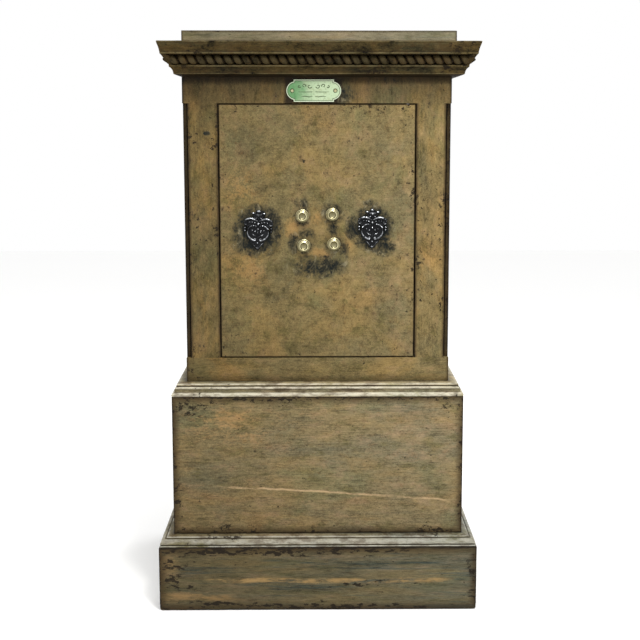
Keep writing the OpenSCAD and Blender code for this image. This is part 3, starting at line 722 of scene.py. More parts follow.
def sweep(name, profile, material, node, step=6 * MM, shape=None, uneven=0.0003):
    """A moulding along the left side, the front and the right side, mitred at the corners.
    profile is a closed list of (outward from the body's face, height, cavity) in mm; shape may
    move a profile point as it goes along: shape(index, part, along, mm to the corner) gives
    (outward, height, cavity)."""
    bm = bmesh.new()
    cavity = bm.verts.layers.float.new("cavity")
    middle = node_centre(node).x
    rings = []
    for part, t in stations(step):
        ring = []
        for k, (o, z, c) in enumerate(profile):
            x, y = on_run(part, t, o * MM)
            if shape is not None:
                along = x if part == "front" else y
                to_corner = (HALF_W + o * MM - abs(x) if part == "front" else y - FRONT_Y + o * MM) / MM
                shaped, z, c = shape(k, part, along, to_corner)
                x, y = shifted(part, t, x, y, (shaped - o) * MM)
            v = bm.verts.new(weathered(part, Vector((x, y, z * MM)), uneven, middle))
            v[cavity] = c
            ring.append(v)
        rings.append(ring)
    n = len(profile)
    for a, b in zip(rings, rings[1:]):
        for k in range(n):
            bm.faces.new((a[k], a[(k + 1) % n], b[(k + 1) % n], b[k]))
    cap_ends(bm, rings)
    finish_piece(name, bm, material, "carcase", [node])


def cap_ends(bm, rings):
    bm.faces.new(rings[0])
    bm.faces.new(list(reversed(rings[-1])))


def skin(bm, rings):
    """Faces between each ring of vertices and the next."""
    for a, b in zip(rings, rings[1:]):
        for k in range(len(a)):
            bm.faces.new((a[k - 1], a[k], b[k], b[k - 1]))


def lathe(bm, centre, profile, segments=64, dirt_and_shade_at=None):
    """Turns a profile of (radius, distance outward) in mm about an axis along -Y. dirt_and_shade_at
    says how much soiling and painted shade some of its points hold."""
    cavity = bm.verts.layers.float.get("cavity") or bm.verts.layers.float.new("cavity")
    rings = []
    for k, (r, d) in enumerate(profile):
        count = segments if r > 1e-6 else 1
        ring = []
        for i in range(count):
            a = 2 * math.pi * i / count
            v = bm.verts.new((centre[0] + r * MM * math.cos(a), centre[1] - d * MM,
                              centre[2] + r * MM * math.sin(a)))
            v[cavity] = (dirt_and_shade_at or {}).get(k, 0.0)
            ring.append(v)
        rings.append(ring)
    for a, b in zip(rings, rings[1:]):
        for i in range(segments):
            j = (i + 1) % segments
            quad = [a[i % len(a)], a[j % len(a)], b[j % len(b)], b[i % len(b)]]
            corners = list(dict.fromkeys(quad))
            if len(corners) > 2:
                bm.faces.new(corners)


# ---------------------------------------------------------------- the pieces

def raised(lo, hi, by=Vector((0.0, 0.0, 1.0))):
    """A box made taller, so that its top and bottom edges no longer take the edges' wear."""
    return lo - by, hi + by


def closed_up(lo, hi):
    """A side plate carried in to the stile's edge, as paint has filled the gap between them."""
    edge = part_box("frame_stiles")[1].x + 0.2 * MM
    if lo.x > 0:
        return Vector((edge, lo.y, lo.z)), hi
    return lo, Vector((-edge, hi.y, hi.z))


def plinth_wear():
    """The plinth's front: rusty streaks, bare corners and a chipped top edge."""
    lo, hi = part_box("plinth_front_board")
    rust = [(0.068, 0.008, -0.26, 0.31, 0.0, AMBER), (0.030, 0.010, -0.35, -0.17, 0.0, PRIMER)]
    bruised = [(-0.08, hi.z - 0.006, 0.44, 0.020, 1.9), (lo.x + 0.03, 0.09, 0.045, 0.07, 1.4),
               (hi.x - 0.01, 0.09, 0.02, 0.08, 1.3), (0.1, 0.06, 0.3, 0.02, 0.8),
               (0.0, 0.008, 0.5, 0.014, 1.4), (lo.x + 0.12, 0.012, 0.12, 0.02, 1.3),
               (lo.x + 0.05, 0.055, 0.07, 0.012, 1.4)]
    ochre = [(-0.33, 0.105, 0.035, 0.045, 1.0), (-0.30, 0.03, 0.08, 0.02, 0.8)]
    return dict(bands=rust, warm_spots=ochre, chip_spots=bruised, edge=1.3, chips=1.2)


def pedestal_wear():
    """The pedestal's front: one long pale scratch, flaked edges and a warm patch."""
    lo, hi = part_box("pedestal_front_board")
    scratch = [(0.260, 0.0036, -0.24, 0.31, -0.058, PEACH)]
    flaked = [(lo.x + 0.03, hi.z - 0.02, 0.075, 0.055, 1.7), (-0.10, hi.z, 0.30, 0.020, 1.7),
              (0.22, hi.z, 0.18, 0.016, 1.6), (lo.x, 0.32, 0.018, 0.24, 1.2),
              (hi.x, 0.38, 0.016, 0.14, 1.3), (lo.x + 0.03, lo.z + 0.012, 0.08, 0.02, 1.2),
              (hi.x - 0.03, hi.z - 0.03, 0.04, 0.05, 1.0), (hi.x, 0.25, 0.014, 0.10, 1.1)]
    bare = [(lo.x + 0.13, hi.z - 0.06, 0.13, 0.06, 0.45)]
    # Darker towards the bottom.
    foot = (2, 0.36, 0.20, 0.17)
    return dict(bands=scratch, chip_spots=flaked, warm_spots=bare, shade=[foot], edge=1.2)


def frame_wear(seam):
    """The top rail's, the bottom rail's and the stiles' wear, and the painted shadow under the cornice.
    seam is where the stiles end.
    """
    mid = node_centre("nameplate")
    halo = [(mid.x + 0.066, mid.z - 0.008, 0.030, 0.024, 0.8)]
    # Painted shadow cast by the cornice: broad down the frieze and, just under it, narrow and dark.
    shadow = (2, seam - 0.04, seam + 0.085, 0.74)
    under = (2, rail_hi.z - 0.016, rail_hi.z - 0.001, 0.85)
    # The bottom rail darker towards its foot.
    foot = (2, body_lo.z + 0.020, body_lo.z - 0.004, 0.45)
    ding = [(-0.2365, 1.0446, 0.009, 0.006, 2.6)]
    rubs = [(0.25, 0.70, 0.03, 0.05, 0.6)]
    return (dict(spots=halo, shade=[shadow, under], around=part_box("nameplate"), edge=0.4),
            dict(shade=[foot], edge=0.4),
            dict(shade=[shadow], spots=ding, chip_spots=rubs, edge=0.4))


def boards():
    """Every flat plate and board that shows, with edges rounded by wear in place of sharp ones."""
    seams = [corner.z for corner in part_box("frame_stiles")]
    top_rail, bottom_rail, stiles = frame_wear(seams[1])
    # Painted shade on the side plates' front strips, down in the rebates beside the stiles.
    rebate = (1, FRONT_Y + 0.060, FRONT_Y + 0.012, 0.50)
    plan = [
        ("plinth", "plinth_front_board", 3.2, plinth_wear()),
        ("plinth", "plinth_side_boards", 2.0, dict(edge=1.1)),
        ("plinth", "plinth_back_board", 1.2, {}),
        ("pedestal", "pedestal_front_board", 2.6, pedestal_wear()),
        ("pedestal", "pedestal_side_boards", 2.0, {}),
        ("pedestal", "pedestal_back_board", 1.2, {}),
        ("side", "casing_side_plates", 1.2, dict(shade=[rebate])),
        ("side", "casing_back_plate", 1.2, {}),
        ("frame", "frame_top_rail", 0.5, top_rail),
        ("rail", "frame_bottom_rail", 0.5, bottom_rail),
        ("frame", "frame_stiles", 0.5, stiles),
        ("cap", "top_cap", 2.2, dict(edge=0.35, chips=0.3)),
    ]
    for look_name, node, radius, wear in plan:
        framing = node.startswith("frame_")
        foot = 7 * MM if node.startswith("plinth") else 0.0
        solids = solids_of(node)
        for i, (a, b) in enumerate(solids):
            if node == "casing_side_plates":
                a, b = closed_up(a, b)
            bm = bmesh.new()
            add_board(bm, a, b, radius * MM, seed=3.1 * i + len(node),
                      joints=seams if framing else (), foot=foot)
            side = ("_left", "_right")[i] if len(solids) > 1 else ""
            box = raised(a, b) if framing else (a, b)
            material = aged_paint(f"{node}{side}_paint", look_name, box, **wear)
            finish_piece(f"{node}{side}_worn", bm, material, "carcase", [node])


def node_centre(node):
    lo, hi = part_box(node)
    return (lo + hi) / 2


def handling_marks():
    """Where hands and keys have blackened the door: (x, z, half width, half height, strength)."""
    spots = []
    for node, reach, strength in zip(KNOBS, (25, 31, 24, 28), (0.85, 1.15, 0.85, 1.0)):
        c = node_centre(node)
        spots.append((c.x, c.z, reach * MM, reach * MM, strength))
    for node, reach, strength in zip(COVERS, (0.059, 0.053), (2.9, 2.5)):
        c = node_centre(node)
        spots.append((c.x, c.z, reach, reach + 0.004, strength))
    left, right = node_centre(COVERS[0]), node_centre(COVERS[1])
    low = (node_centre(KNOBS[2]) + node_centre(KNOBS[3])) / 2
    high = (node_centre(KNOBS[0]) + node_centre(KNOBS[1])) / 2
    near_right = [(-0.040, 0.002, 0.024, 0.034, 1.7), (0.026, -0.040, 0.030, 0.024, 1.2),
                  (-0.004, 0.056, 0.022, 0.014, 0.8)]
    near_left = [(-0.034, -0.024, 0.030, 0.034, 1.1), (0.036, 0.012, 0.022, 0.030, 1.0),
                 (-0.034, 0.016, 0.022, 0.032, 1.1)]
    near_low = [(-0.004, -0.048, 0.074, 0.030, 1.35), (0.036, -0.042, 0.032, 0.024, 1.2),
                (-0.055, 0.004, 0.017, 0.030, 0.95), (0.032, 0.034, 0.017, 0.024, 1.35),
                (0.054, -0.010, 0.014, 0.034, 0.9), (-0.026, 0.024, 0.024, 0.016, 0.9)]
    for base, group in ((right, near_right), (left, near_left), (low, near_low)):
        spots += [(base.x + dx, base.z + dz, rx, rz, k) for dx, dz, rx, rz, k in group]
    spots.append((high.x - 0.034, high.z + 0.026, 0.020, 0.018, 0.7))
    return spots


def door_plate():
    """The door's front plate, worn dark round the knobs and covers, open at the two key barrels."""
    bm = bmesh.new()
    add_board(bm, door_lo, door_hi, 0.7 * MM, step=9 * MM, seed=8.2)
    low = (node_centre(KNOBS[2]) + node_centre(KNOBS[3])) / 2
    primer = [(low.x, low.z - 0.018, 0.030, 0.018, 1.2), (low.x - 0.06, low.z + 0.034, 0.02, 0.03, 1.1),
              (low.x + 0.06, low.z + 0.006, 0.02, 0.03, 1.0),
              (low.x - 0.006, low.z + 0.06, 0.02, 0.02, 1.0),
              (low.x - 0.16, low.z - 0.05, 0.06, 0.05, 0.6),
              (low.x - 0.17, low.z + 0.12, 0.05, 0.06, 0.5)]
    corners = [(door_lo.x + 0.018, door_hi.z - 0.012, 0.035, 0.022, 1.2),
               (door_lo.x + 0.03, door_lo.z + 0.03, 0.07, 0.05, 0.85),
               (door_hi.x - 0.03, door_lo.z + 0.02, 0.06, 0.03, 0.85),
               (door_hi.x - 0.02, door_hi.z - 0.04, 0.04, 0.07, 0.8),
               (door_hi.x - 0.01, door_lo.z + 0.25, 0.012, 0.2, 0.7)]
    # The door is also made darker towards its bottom.
    material = aged_paint("door_paint", "door", (door_lo, door_hi), edge=0.15, chips=0.8,
                          chip_spots=corners, spots=handling_marks(), warm_spots=primer,
                          shade=[(2, door_lo.z + 0.14, door_lo.z - 0.03, 0.16)])
    obj = finish_piece("door_plate_worn", bm, material, "door", ["door_front_plate"])
    for lo, hi in solids_of("keyhole_collars"):
        bore(obj, (lo + hi) / 2, (hi.x - lo.x) / 2 / MM)


def bore(obj, centre, r, reach=20):
    """A round hole of radius r through a piece, along Y; reach is half the cutter's length in mm."""
    cut = bmesh.new()
    lathe(cut, centre, [(0, -reach), (r, -reach), (r, reach), (0, reach)], segments=96)
    bmesh.ops.recalc_face_normals(cut, faces=cut.faces)
    cutter = placed("cutter", mesh_of("cutter", cut))
    m = obj.modifiers.new("hole", "BOOLEAN")
    m.operation = "DIFFERENCE"
    m.solver = "EXACT"
    m.object = cutter
    bake_modifiers(obj)
    bpy.data.objects.remove(cutter)


def bake_modifiers(obj):
    """Applies a piece's modifiers to its mesh."""
    dg = bpy.context.evaluated_depsgraph_get()
    made = bpy.data.meshes.new_from_object(obj.evaluated_get(dg))
    old = obj.data
    obj.modifiers.clear()
    obj.data = made
    made.name = old.name
    bpy.data.meshes.remove(old)


KNOBS = ["knob_upper_left", "knob_upper_right", "knob_lower_left", "knob_lower_right"]
COVERS = ["left_key_cover", "right_key_cover"]


def knobs():
    """Turned brass knobs: a thin flange, a straight side, a stepped dome and a dished end."""
    metal = brass("knob_brass")
    profile = [(0, 0.5), (14.0, 0.5), (14.4, 0.9), (14.4, 2.0), (14.0, 2.7), (13.4, 3.0), (12.9, 3.3),
               (12.7, 4.2), (12.7, 10.6), (12.5, 12.0), (12.0, 13.0), (11.3, 13.6), (10.9, 13.7),
               (10.7, 13.9), (10.4, 14.5), (9.9, 15.2), (9.2, 15.8), (8.5, 16.1), (8.0, 16.1),
               (7.6, 15.8), (7.2, 15.1), (6.6, 14.1), (5.6, 13.4), (3.8, 13.0), (1.8, 12.9), (0, 12.9)]
    # Soiling and painted shade by profile point: dark at the side's foot, at the dome's step and round
    # the dish's rim.
    ring_dirt_and_shade = {6: 0.9, 7: 0.9, 8: 0.35, 12: 0.45, 13: 0.45, 19: 0.5, 20: 1.0, 21: 1.0, 22: 0.55}
    for node in KNOBS:
        c = node_centre(node)
        bm = bmesh.new()
        lathe(bm, (c.x, FRONT_Y, c.z), profile, dirt_and_shade_at=ring_dirt_and_shade)
        knob_shade_and_grime = bm.verts.layers.float["cavity"]
        for v in bm.verts:
            r, rise = math.hypot(v.co.x - c.x, v.co.z - c.z) / MM, (v.co.z - c.z) / MM
            # Painted shade: the dish darker towards its top, the flange and side darker towards the
            # bottom.
            if r < 6.2:
                v[knob_shade_and_grime] = max(v[knob_shade_and_grime], 0.74 + 0.06 * rise)
            elif r > 9.5:
                v[knob_shade_and_grime] = max(v[knob_shade_and_grime], 0.32 - 0.045 * rise)
        finish_piece(f"{node}_turned", bm, metal, node.replace("knob", "dial"), [node], sharp=50)


def heights_of(node):
    """A node's bottom and top in mm."""
    return [corner.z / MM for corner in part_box(node)]


def plinth_moulding():
    base, top = heights_of("plinth_moulding")
    points = [(-20, base, 0.5), (57.4, base, 1.0), (57.6, base + 0.4, 0.6)]
    points += curve(58.4, base + 1.9, 1.6, -80, 110, 8)
    points += [(56.8, base + 3.7, 0.9), (56.0, base + 4.3, 1.0), (57.6, base + 5.0, 0.7)]
    points += curve(49.4, base + 6.6, 9.8, 2, 84, 12, 0.05)
    points += [(47.4, base + 16.2, 0.9), (46.6, base + 16.8, 0.8), (46.4, base + 18.4, 0.1),
               (45.6, base + 19.4, 0.0), (42, base + 20.6, 0.15), (36, top - 0.8, 0.25), (32.4, top, 0.7),
               (-20, top, 0.6)]
    material = aged_paint("plinth_moulding_paint", "low_ridge", cavity=True, chips=0.8)
    sweep("plinth_moulding_run", points, material, "plinth_moulding")


def pedestal_moulding():
    base, top = heights_of("pedestal_moulding")
    points = [(-20, base, 0.5), (31.0, base, 0.5)]
    points += curve(26.6, base + 3.4, 4.8, -35, 88, 10)
    points += [(26.0, base + 8.7, 0.35), (25.4, base + 9.2, 0.6)]
    points += curve(28.6, base + 12.0, 4.0, 200, 140, 6, 0.35)
    points += [(24.6, base + 15.0, 0.8), (23.2, base + 15.2, 0.5)]
    points += curve(21.4, base + 17.6, 2.5, -40, 95, 8)
    points += [(20.8, base + 21.0, 0.95), (20.2, base + 22.2, 1.0), (21.0, base + 23.2, 0.3),
               (20.8, base + 25.0, 0.0), (19.4, base + 26.2, 0.05), (10, top - 1.0, 0.2), (1.0, top, 0.8),
               (-20, top, 0.6)]
    material = aged_paint("pedestal_moulding_paint", "ridge", cavity=True, chips=0.9)
    sweep("pedestal_moulding_run", points, material, "pedestal_moulding")


rope_lo, rope_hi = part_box("rope_moulding")
ROPE_R = (rope_hi.z - rope_lo.z) / 2 / MM
ROPE_Z = (rope_hi.z + rope_lo.z) / 2 / MM
ROPE_OUT = (FRONT_Y - rope_lo.y) / MM - ROPE_R - 3.0
ROPE_PITCH = 19.2


def cornice():
    """The crown moulding: two fillets, the rope's dark bed between them and a cyma above. The
    bed is stopped short of each corner, so that the mitre runs down in one slant."""
    base, top = heights_of("cornice_moulding")
    lo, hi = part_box("cornice_moulding")
    out = ((hi.x - lo.x) / 2 - HALF_W) / MM
    # Each point's third value is its cavity: soiling and painted shade, full on the soffit under the
    # cornice and in the rope's bed.
    points = [(-20, base, 1.0), (0.5, base, 1.0), (10, base + 2.2, 1.0), (19, base + 5.2, 0.8),
              (20.3, base + 6.0, 0.1), (20.5, base + 7.6, 0.0), (20.2, base + 8.4, 0.5)]
    points += curve(34.4, base + 8.0, 13.6, 174, 120, 8, 0.25)
    points += [(28.0, base + 20.0, 0.7), (28.6, base + 20.7, 0.0), (28.8, base + 23.6, 0.0)]
    bed_from = len(points)
    points += [(28.0, base + 24.8, 0.4), (25.0, base + 26.0, 1.0), (22.0, base + 30.0, 1.0),
               (21.0, base + 36.0, 1.0), (23.0, base + 43.0, 1.0), (34.0, base + 45.4, 1.0)]
    bed_to = len(points)
    points += [(44.6, base + 46.0, 0.4), (45.6, base + 46.8, 0.0), (46.0, base + 49.6, 0.0),
               (45.8, base + 50.4, 0.7)]
    rise, reach = top - 3.4 - (base + 51.2), out - 46.2
    for n in range(1, 12):
        t = n / 12
        points.append((46.2 + reach * (0.45 * t + 0.55 * t * t), base + 51.2 + rise * t, 0.3 - 0.2 * t))
    points += [(out - 0.6, top - 3.4, 0.3), (out, top - 2.4, 0.0), (out, top - 1.2, 0.0),
               (out - 0.7, top - 0.4, 0.1), (out - 1.8, top, 0.4), (4.0, top, 0.6), (-20, top, 0.6)]

    def stopped(k, part, along, to_corner):
        o, z, c = points[k]
        near = min(1.0, max(0.0, (7.0 - to_corner) / 3.0))
        if bed_from <= k < bed_to:
            slant = 28.8 + (z - base - 23.6) * (45.6 - 28.8) / (46.8 - 23.6) - 0.8
            o += (slant - o) * near
            c = 1.0 - 0.5 * near
        return o, z, c

    material = aged_paint("cornice_paint", "cornice", cavity=True, gloss=0.06)
    sweep("cornice_run", points, material, "cornice_moulding", step=2 * MM, shape=stopped)


def rope():
    """The rope bead: a strand laid round a core, leaning down to the right on the front."""
    n = 36
    ring = [(ROPE_OUT + ROPE_R * math.cos(2 * math.pi * i / n),
             ROPE_Z + ROPE_R * math.sin(2 * math.pi * i / n), 0.0) for i in range(n)]

    def strand(k, part, along, to_corner):
        angle = 2 * math.pi * k / n
        way = -1 if part == "left" else 1
        turn = -angle - 2 * math.pi * (along / MM) / ROPE_PITCH * way
        t = (turn / math.pi + 1.0) % 2.0 - 1.0
        lobe = math.sqrt(max(0.0, 1.0 - (t / 0.90) ** 2))
        r = ROPE_R * (0.50 + 0.50 * lobe)
        if to_corner < 8.0:
            r *= 0.70 + 0.30 * max(0.0, to_corner - 4.0) / 4.0
        # The gaps between the turns get a high cavity: soiling and painted shade.
        return (ROPE_OUT + r * math.cos(angle), ROPE_Z + r * math.sin(angle), max(0.0, 1.3 - 1.7 * lobe))

    material = aged_paint("rope_paint", "rope", cavity=True, chips=0.3, gloss=0.08)
    sweep("rope_run", ring, material, "rope_moulding", step=1.3 * MM, shape=strand, uneven=0.0002)


def engrave(bm, line, centre, face_y):
    """A dark-filled engraved stroke, (points, radii) in mm about the plate's centre, lying flush."""
    start = len(bm.verts)
    tube(bm, *line, sides=8)
    bm.verts.ensure_lookup_table()
    for v in bm.verts[start:]:
        v.co = Vector((centre.x + v.co.x * MM, (face_y + 0.12 * v.co.y) * MM, centre.z + v.co.z * MM))


def plate_outline(half_w, half_h, inset, end_r=19.5, shoulder=15.5):
    """The nameplate's outline in mm, so far in from its edge: a bar with round ends of radius
    end_r, notched where they meet its straight edges, a shoulder's length from each end."""
    r = end_r - inset
    ex = half_w - end_r
    flat = half_w - shoulder - inset
    notch = math.sqrt(max(0.0, r * r - (flat - ex) ** 2))
    first = math.degrees(math.atan2(notch, flat - ex))
    right = [(flat, inset - half_h), *arc(ex, 0.0, r, -first, first, 20), (flat, half_h - inset)]
    return right + [(-x, -z) for x, z in right]


def nameplate():
    """A brass plate with notched shoulders and an engraved border."""
    lo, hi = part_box("nameplate")
    c, half = (lo + hi) / 2, (hi - lo) / 2 / MM
    bm = bmesh.new()
    cavity = bm.verts.layers.float.new("cavity")
    wear_and_glint = bm.verts.layers.float.new("wear_and_glint")
    # Each loop is (inset, depth, soiling, rubbed); the bevel's rubbed paling is partly a painted
    # highlight.
    layers = [(0.0, 0.0, 0.6, 0.0), (0.0, 2.0, 0.3, 0.3), (0.35, 2.45, 0.0, 1.0), (1.7, 2.5, 0.0, 1.0),
              (2.1, 2.15, 1.0, 0.0), (3.0, 2.15, 1.0, 0.0), (3.4, 2.5, 0.0, 0.0)]
    loops = []
    for inset, depth, dirt_and_shade, rubbed in layers:
        ring = []
        for x, z in plate_outline(half.x, half.z, inset):
            v = bm.verts.new((c.x + x * MM, FRONT_Y - depth * MM, c.z + z * MM))
            v[cavity] = dirt_and_shade
            v[wear_and_glint] = rubbed
            ring.append(v)
        loops.append(ring)
    skin(bm, loops)
    bm.faces.new(loops[0])
    face = bm.faces.new(loops[-1])
    bmesh.ops.triangulate(bm, faces=[face])
    finish_piece("nameplate_engraved", bm, plate_brass("nameplate_brass", (lo, hi)), "carcase",
                 ["nameplate"], sharp=30)


def flourishes():
    """Plain scrolls and rules engraved on the nameplate, in place of lettering."""
    c = node_centre("nameplate")
    bm = bmesh.new()
    face_y = FRONT_Y / MM - 2.5
    for s in (-1, 1):
        for x, z, r, turn in ((9, 9.5, 5.0, 1), (21, 10.0, 4.4, -1), (31, 9.0, 3.2, 1)):
            start = 90 + s * 110
            curl = scroll(s * x, z, r, 1.0, start, start + s * turn * 330, 0, 1.0, 0.55)
            engrave(bm, curl, c, face_y)
        line = ([(s * 3, 0, -2.5), (s * 18, 0, -2.9), (s * 33, 0, -2.5)], [0.6, 0.8, 0.3])
        engrave(bm, line, c, face_y)
        wave = [(s * 2.5, 0, -12.0), (s * 10, 0, -13.2), (s * 20, 0, -11.6), (s * 27, 0, -13.0)]
        engrave(bm, (wave, [0.4, 0.85, 0.8, 0.3]), c, face_y)
    for a, b in solids_of("nameplate_screws"):
        at = (a + b) / 2
        sink = scroll((at.x - c.x) / MM, (at.z - c.z) / MM, 3.9, 3.9, 0, 360, 0, 0.8, 0.8)
        engrave(bm, sink, c, face_y)
    filler = Graph("engraving_filler")
    dark = filler.mix(filler.noise(300.0, 3.0), srgb(34, 44, 26), srgb(70, 84, 50))
    finish_piece("nameplate_flourish", bm, filler.shader(dark, 0.6, gloss=0.3), "carcase")


def slotted_head(bm, centre, r, height, slot_angle):
    """A low domed screw head with a sawn slot, its axis along -Y from centre."""
    turn = math.radians(slot_angle)
    n, rings = 40, 7
    grid = []
    for j in range(rings + 1):
        t = j / rings
        ring = []
        for i in range(n):
            a = 2 * math.pi * i / n
            x, z = r * t * math.cos(a), r * t * math.sin(a)
            d = height * (1.0 - 0.75 * t * t)
            across = abs(-x * math.sin(turn) + z * math.cos(turn))
            if across < 0.13 * r:
                d = min(d, 0.35 * height) if t < 0.97 else d * 0.6
            ring.append(bm.verts.new((centre[0] + x * MM, centre[1] - d * MM, centre[2] + z * MM)))
        grid.append(ring)
    foot = [bm.verts.new((v.co.x, centre[1] + 0.2 * MM, v.co.z)) for v in grid[-1]]
    grid.append(foot)
    skin(bm, grid)
    bmesh.ops.remove_doubles(bm, verts=grid[0], dist=1e-7)
    bm.faces.new(foot)


def screws():
    metal = brass("screw_brass", tint=(0.40, 0.42, 0.27, 1.0), dull=(0.16, 0.18, 0.10, 1.0), amount=0.8)
    dark = black_casting("screw_black")
    bm = bmesh.new()
    for i, (lo, hi) in enumerate(solids_of("nameplate_screws")):
        c = (lo + hi) / 2
        slotted_head(bm, (c.x, FRONT_Y - 2.5 * MM, c.z), 3.3, 1.5, 35 + 70 * i)
    finish_piece("nameplate_screw_heads", bm, metal, "carcase")
    bm = bmesh.new()
    for i, (lo, hi) in enumerate(solids_of("cover_pivot_screws")):
        c = (lo + hi) / 2
        slotted_head(bm, (c.x, FRONT_Y - 4.8 * MM, c.z), 3.2, 1.9, 20 + 100 * i)
    finish_piece("cover_pivot_screw_heads", bm, dark, "door")


def tube(bm, points, radii, sides=12):
    """A closed round bar through 3-D points in mm, with a radius at each."""
    rings = []
    for i, p in enumerate(points):
        p = Vector(p)
        ahead = Vector(points[min(i + 1, len(points) - 1)]) - Vector(points[max(i - 1, 0)])
        ahead.normalize()
        side = ahead.cross(Vector((0, 1, 0)))
        side.normalize()
        up = side.cross(ahead)
        rings.append([bm.verts.new(p + radii[i] * (side * math.cos(2 * math.pi * k / sides)
                                                   + up * math.sin(2 * math.pi * k / sides)))
                      for k in range(sides)])
    skin(bm, rings)
    cap_ends(bm, rings)


def ball(bm, x, d, z, rx, ry, rz):
    """An ellipsoid in mm at (x, -d, z)."""
    made = bmesh.ops.create_uvsphere(bm, u_segments=24, v_segments=16, radius=1.0)
    for v in made["verts"]:
        v.co = Vector((x + rx * v.co.x, -d + ry * v.co.y, z + rz * v.co.z))


def scroll(cx, cz, r0, r1, start, end, d, thick0, thick1, n=28):
    """Points and radii of a flat spiral whose radius goes from r0 to r1."""
    points, radii = [], []
    for i in range(n + 1):
        t = i / n
        a = math.radians(start + (end - start) * t)
        r = r0 + (r1 - r0) * t
        points.append((cx + r * math.cos(a), -d, cz + r * math.sin(a)))
        radii.append(thick0 + (thick1 - thick0) * t)
    return points, radii


def half_relief(bm, s, mid):
    """One side of the cartouche; s is its sign and mid the height of the shield's centre."""
    def balls(*each):
        for x, *rest in each:
            ball(bm, s * x, *rest)

    def bar(radii, *points):
        tube(bm, [(s * x, -d, z) for x, d, z in points], radii)

    balls((17, 1.1, -10.5, 15.0, 2.3, 10.0), (28.4, 1.2, -24.5, 3.4, 2.6, 6.4),
          (11.6, 3.8, 10.7, 4.3, 3.6, 2.7), (5.4, 4.0, 0.6, 2.2, 3.0, 1.9))
    bar([2.2, 1.7, 1.7], (0, 3.0, 5), (5, 3.2, 7.6), (9, 3.4, 9.6))
    bar([2.0, 2.6, 3.0, 3.1, 2.9, 2.5, 1.6],
        (2, 3.8, -6.4), (7, 4.8, -3.8), (13, 5.2, -1.6), (18, 5.2, -1.0),
        (23.5, 5.0, -2.4), (28.0, 4.4, -4.8), (31.0, 3.4, -5.6))
    tube(bm, *scroll(s * 26.4, -11.6, 5.0, 1.2, 70, 70 - s * 330, 3.6, 1.9, 1.2))
    for x, z, long, turn in ((7.5, -9.6, 6.0, 62), (13.4, -8.6, 6.6, 38), (19.2, -8.6, 6.2, 14)):
        a = math.radians(turn)
        dx, dz = 0.5 * long * math.cos(a), 0.5 * long * math.sin(a)
        bar([0.9, 2.1, 1.1], (x - dx, 3.4, z + dz), (x, 5.0, z), (x + dx, 3.6, z - dz))
    bar([1.3, 1.8, 1.8, 1.9], (3.4, 3.6, -17), (10, 4.4, -15.4), (16.0, 4.6, -17.4), (20.6, 4.6, -21.8))
    balls((21.2, 5.0, -22.6, 2.7, 2.9, 2.7), (9.6, 5.2, -15.8, 2.6, 3.2, 2.2),
          (28.8, 3.6, -21.6, 2.6, 2.8, 2.8), (28.4, 3.2, -28.2, 2.2, 2.6, 3.2))
    shield = [(22.6 * math.cos(t), 4.2, mid + 18.0 * math.sin(t))
              for t in (math.radians(30 - 5.2 * i) for i in range(20))]
    thick = [1.5 + 1.6 * max(0.0, min(1.0, (i - 4) / 8)) for i in range(20)]
    bar(thick + [2.3, 1.9, 1.5, 1.1],
        *shield, (5.0, 4.2, -47.8), (4.4, 4.2, -45.4), (6.2, 4.2, -43.6), (8.2, 4.2, -44.4))
    bar([1.4, 1.9, 1.8, 1.4], (12.5, 2.6, -52), (9, 3.2, -56), (6, 3.4, -60), (2.8, 3.2, -64))
    bar([0.9, 1.4, 1.8, 0.9], (0.8, 3.2, -42.0), (3.6, 4.2, -38.6), (8.4, 4.6, -36.8), (12.0, 3.8, -33.6))
    balls((6.2, 4.8, -29.0, 2.0, 2.8, 3.2), (12.4, 4.2, -26.4, 1.7, 2.6, 2.4))


def cover_relief(bm):
    """A generic cast cartouche about its pivot, in mm: a bud for a crown, leafy shoulders, a
    round shield with a sprig on it between two C-scrolls, and a beaded tail."""
    mid = -31.4
    for ground in ((1.0, mid, 24.6, 2.2, 20.2), (1.0, -50, 15.5, 1.9, 11), (1.0, -60, 7.2, 1.9, 7.2),
                   (1.3, -6, 17, 2.4, 11), (1.2, 7.0, 11.6, 2.2, 8.6), (2.6, 6.0, 6.4, 3.0, 7.4),
                   (4.0, 14.6, 5.6, 4.4, 3.9), (4.4, 5.2, 2.2, 3.6, 3.4), (4.6, -13.0, 3.6, 4.2, 4.4)):
        ball(bm, 0, *ground)
    for s in (-1, 1):
        half_relief(bm, s, mid)
    stem = [(0, -3.2, -43), (0.6, -4.2, -37), (-0.6, -4.4, -31), (0.3, -4.2, -26)]
    tube(bm, stem, [0.9, 1.4, 1.4, 1.0])
    for bead in ((5.0, -23.4, 2.4, 3.0, 3.0), (4.8, -53.4, 2.9, 3.2, 2.8), (2.7, -64.8, 3.6, 2.7, 3.2)):
        ball(bm, 0, *bead)


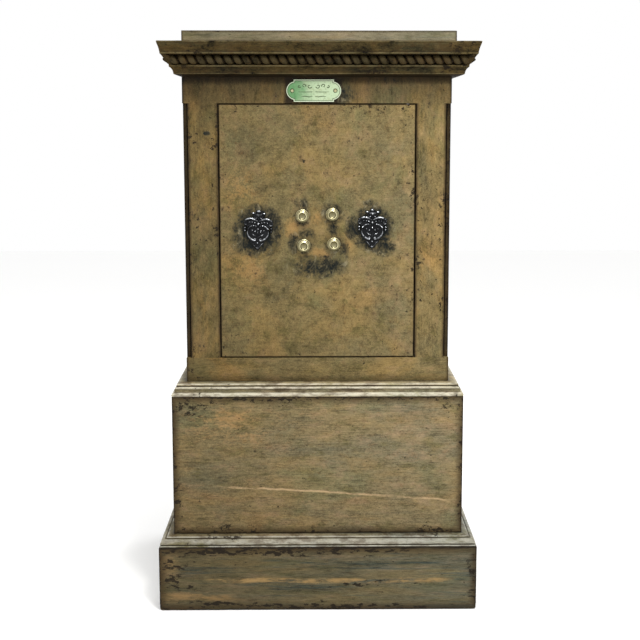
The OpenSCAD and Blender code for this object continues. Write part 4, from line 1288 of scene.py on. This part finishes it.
def key_covers():
    """Both covers: the cartouche is merged by remeshing into one casting, backed flat."""
    tilt = {"left_key_cover": 3.0, "right_key_cover": 1.2}
    screws_at = solids_of("cover_pivot_screws")
    gap = 0.4
    for (lo, hi), node in zip(screws_at, COVERS):
        c = (lo + hi) / 2
        bm = bmesh.new()
        cover_relief(bm)
        bmesh.ops.recalc_face_normals(bm, faces=bm.faces)
        tmp = placed("casting", mesh_of("casting", bm))
        m = tmp.modifiers.new("merge", "REMESH")
        m.mode = "VOXEL"
        m.voxel_size = 0.4
        s = tmp.modifiers.new("soften", "SMOOTH")
        s.factor = 0.5
        s.iterations = 1
        bake_modifiers(tmp)
        bm = bmesh.new()
        bm.from_mesh(tmp.data)
        bpy.data.objects.remove(tmp)
        bm.normal_update()
        wear_and_glint = bm.verts.layers.float.new("wear_and_glint")
        a = math.radians(tilt[node])
        for v in bm.verts:
            x, d, z = v.co.x, max(0.0, -v.co.y), v.co.z
            # Painted highlights: proud faces turned up and forward, towards the key and top lights, are
            # marked bright, partly as rubbed metal.
            facing_light = v.normal.dot(Vector((0.0, -0.80, 0.60)))
            proud = min(1.0, max(0.0, (d - 3.6) / 2.8))
            v[wear_and_glint] = proud * min(1.0, max(0.0, (facing_light - 0.78) / 0.20))
            close = math.hypot(x, z)
            if close < 5.0:
                d = min(d, 4.0 + 0.2 * close)
            v.co = Vector((c.x + (x * math.cos(a) + z * math.sin(a)) * MM, FRONT_Y - (gap + d) * MM,
                           c.z + (-x * math.sin(a) + z * math.cos(a)) * MM))
        side = node.split("_")[0]
        finish_piece(f"{node}_cast", bm, black_casting(f"{side}_cover_black"), f"{side}_cover",
                     [node], sharp=60)


def dress_cad():
    """Materials for the CAD nodes that stay as they are."""
    iron = bare_iron("lock_iron")
    dark_iron = bare_iron("frame_iron", (0.10, 0.10, 0.105, 1.0))
    bar_paint_and_shade = aged_paint("frame_bar_paint_and_shade", "cornice", chips=0.6)
    red = lining("lining_paint")
    wood = sawn_wood("inner_wood")
    rock = mineral("filling")
    metal = brass("inner_brass", amount=0.6)
    black = black_casting("pivot_black")
    deck = aged_paint("deck_paint", "ridge", chips=0.6)
    groups = [
        (iron, ["bolt_bar", "lock_bolts", "guard_bolt", "bolt_bar_guides", "pivot_pins",
                "back_cover_screws", "lock_mounting_plate"]),
        (dark_iron, ["door_edge_bars", "shelf_brackets"]),
        # These take the cornice's very dark look: partly dark paint and partly painted shade, where they
        # show through the door's gaps.
        (bar_paint_and_shade, ["strike_bar", "hinge_bar", "head_and_sill_bars", "casing_end_plates",
                    "cornice_back_rail", "pivot_washer"]),
        (red, ["liner_side_plates", "liner_back_plate", "liner_end_plates", "door_back_cover"]),
        (wood, ["plinth_corner_blocks", "pedestal_corner_posts", "cornice_board", "shelf"]),
        (rock, ["fireproof_filling", "door_filling"]),
        (metal, ["keyhole_collars", "wheel_upper_left", "wheel_upper_right",
                 "wheel_lower_left", "wheel_lower_right", "main_lock_barrel", "guard_lock_barrel",
                 "nameplate_screws"]),
        (black, ["cover_pivot_screws"]),
        (deck, ["plinth_deck", "pedestal_deck"]),
    ]
    for material, nodes in groups:
        for node in nodes:
            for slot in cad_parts[node].material_slots:
                slot.material = material


camera()
lights()
floor()
boards()
door_plate()
knobs()
plinth_moulding()
pedestal_moulding()
cornice()
rope()
nameplate()
flourishes()
screws()
key_covers()
dress_cad()

scene_view = bpy.context.scene.view_settings
scene_view.view_transform = "Standard"
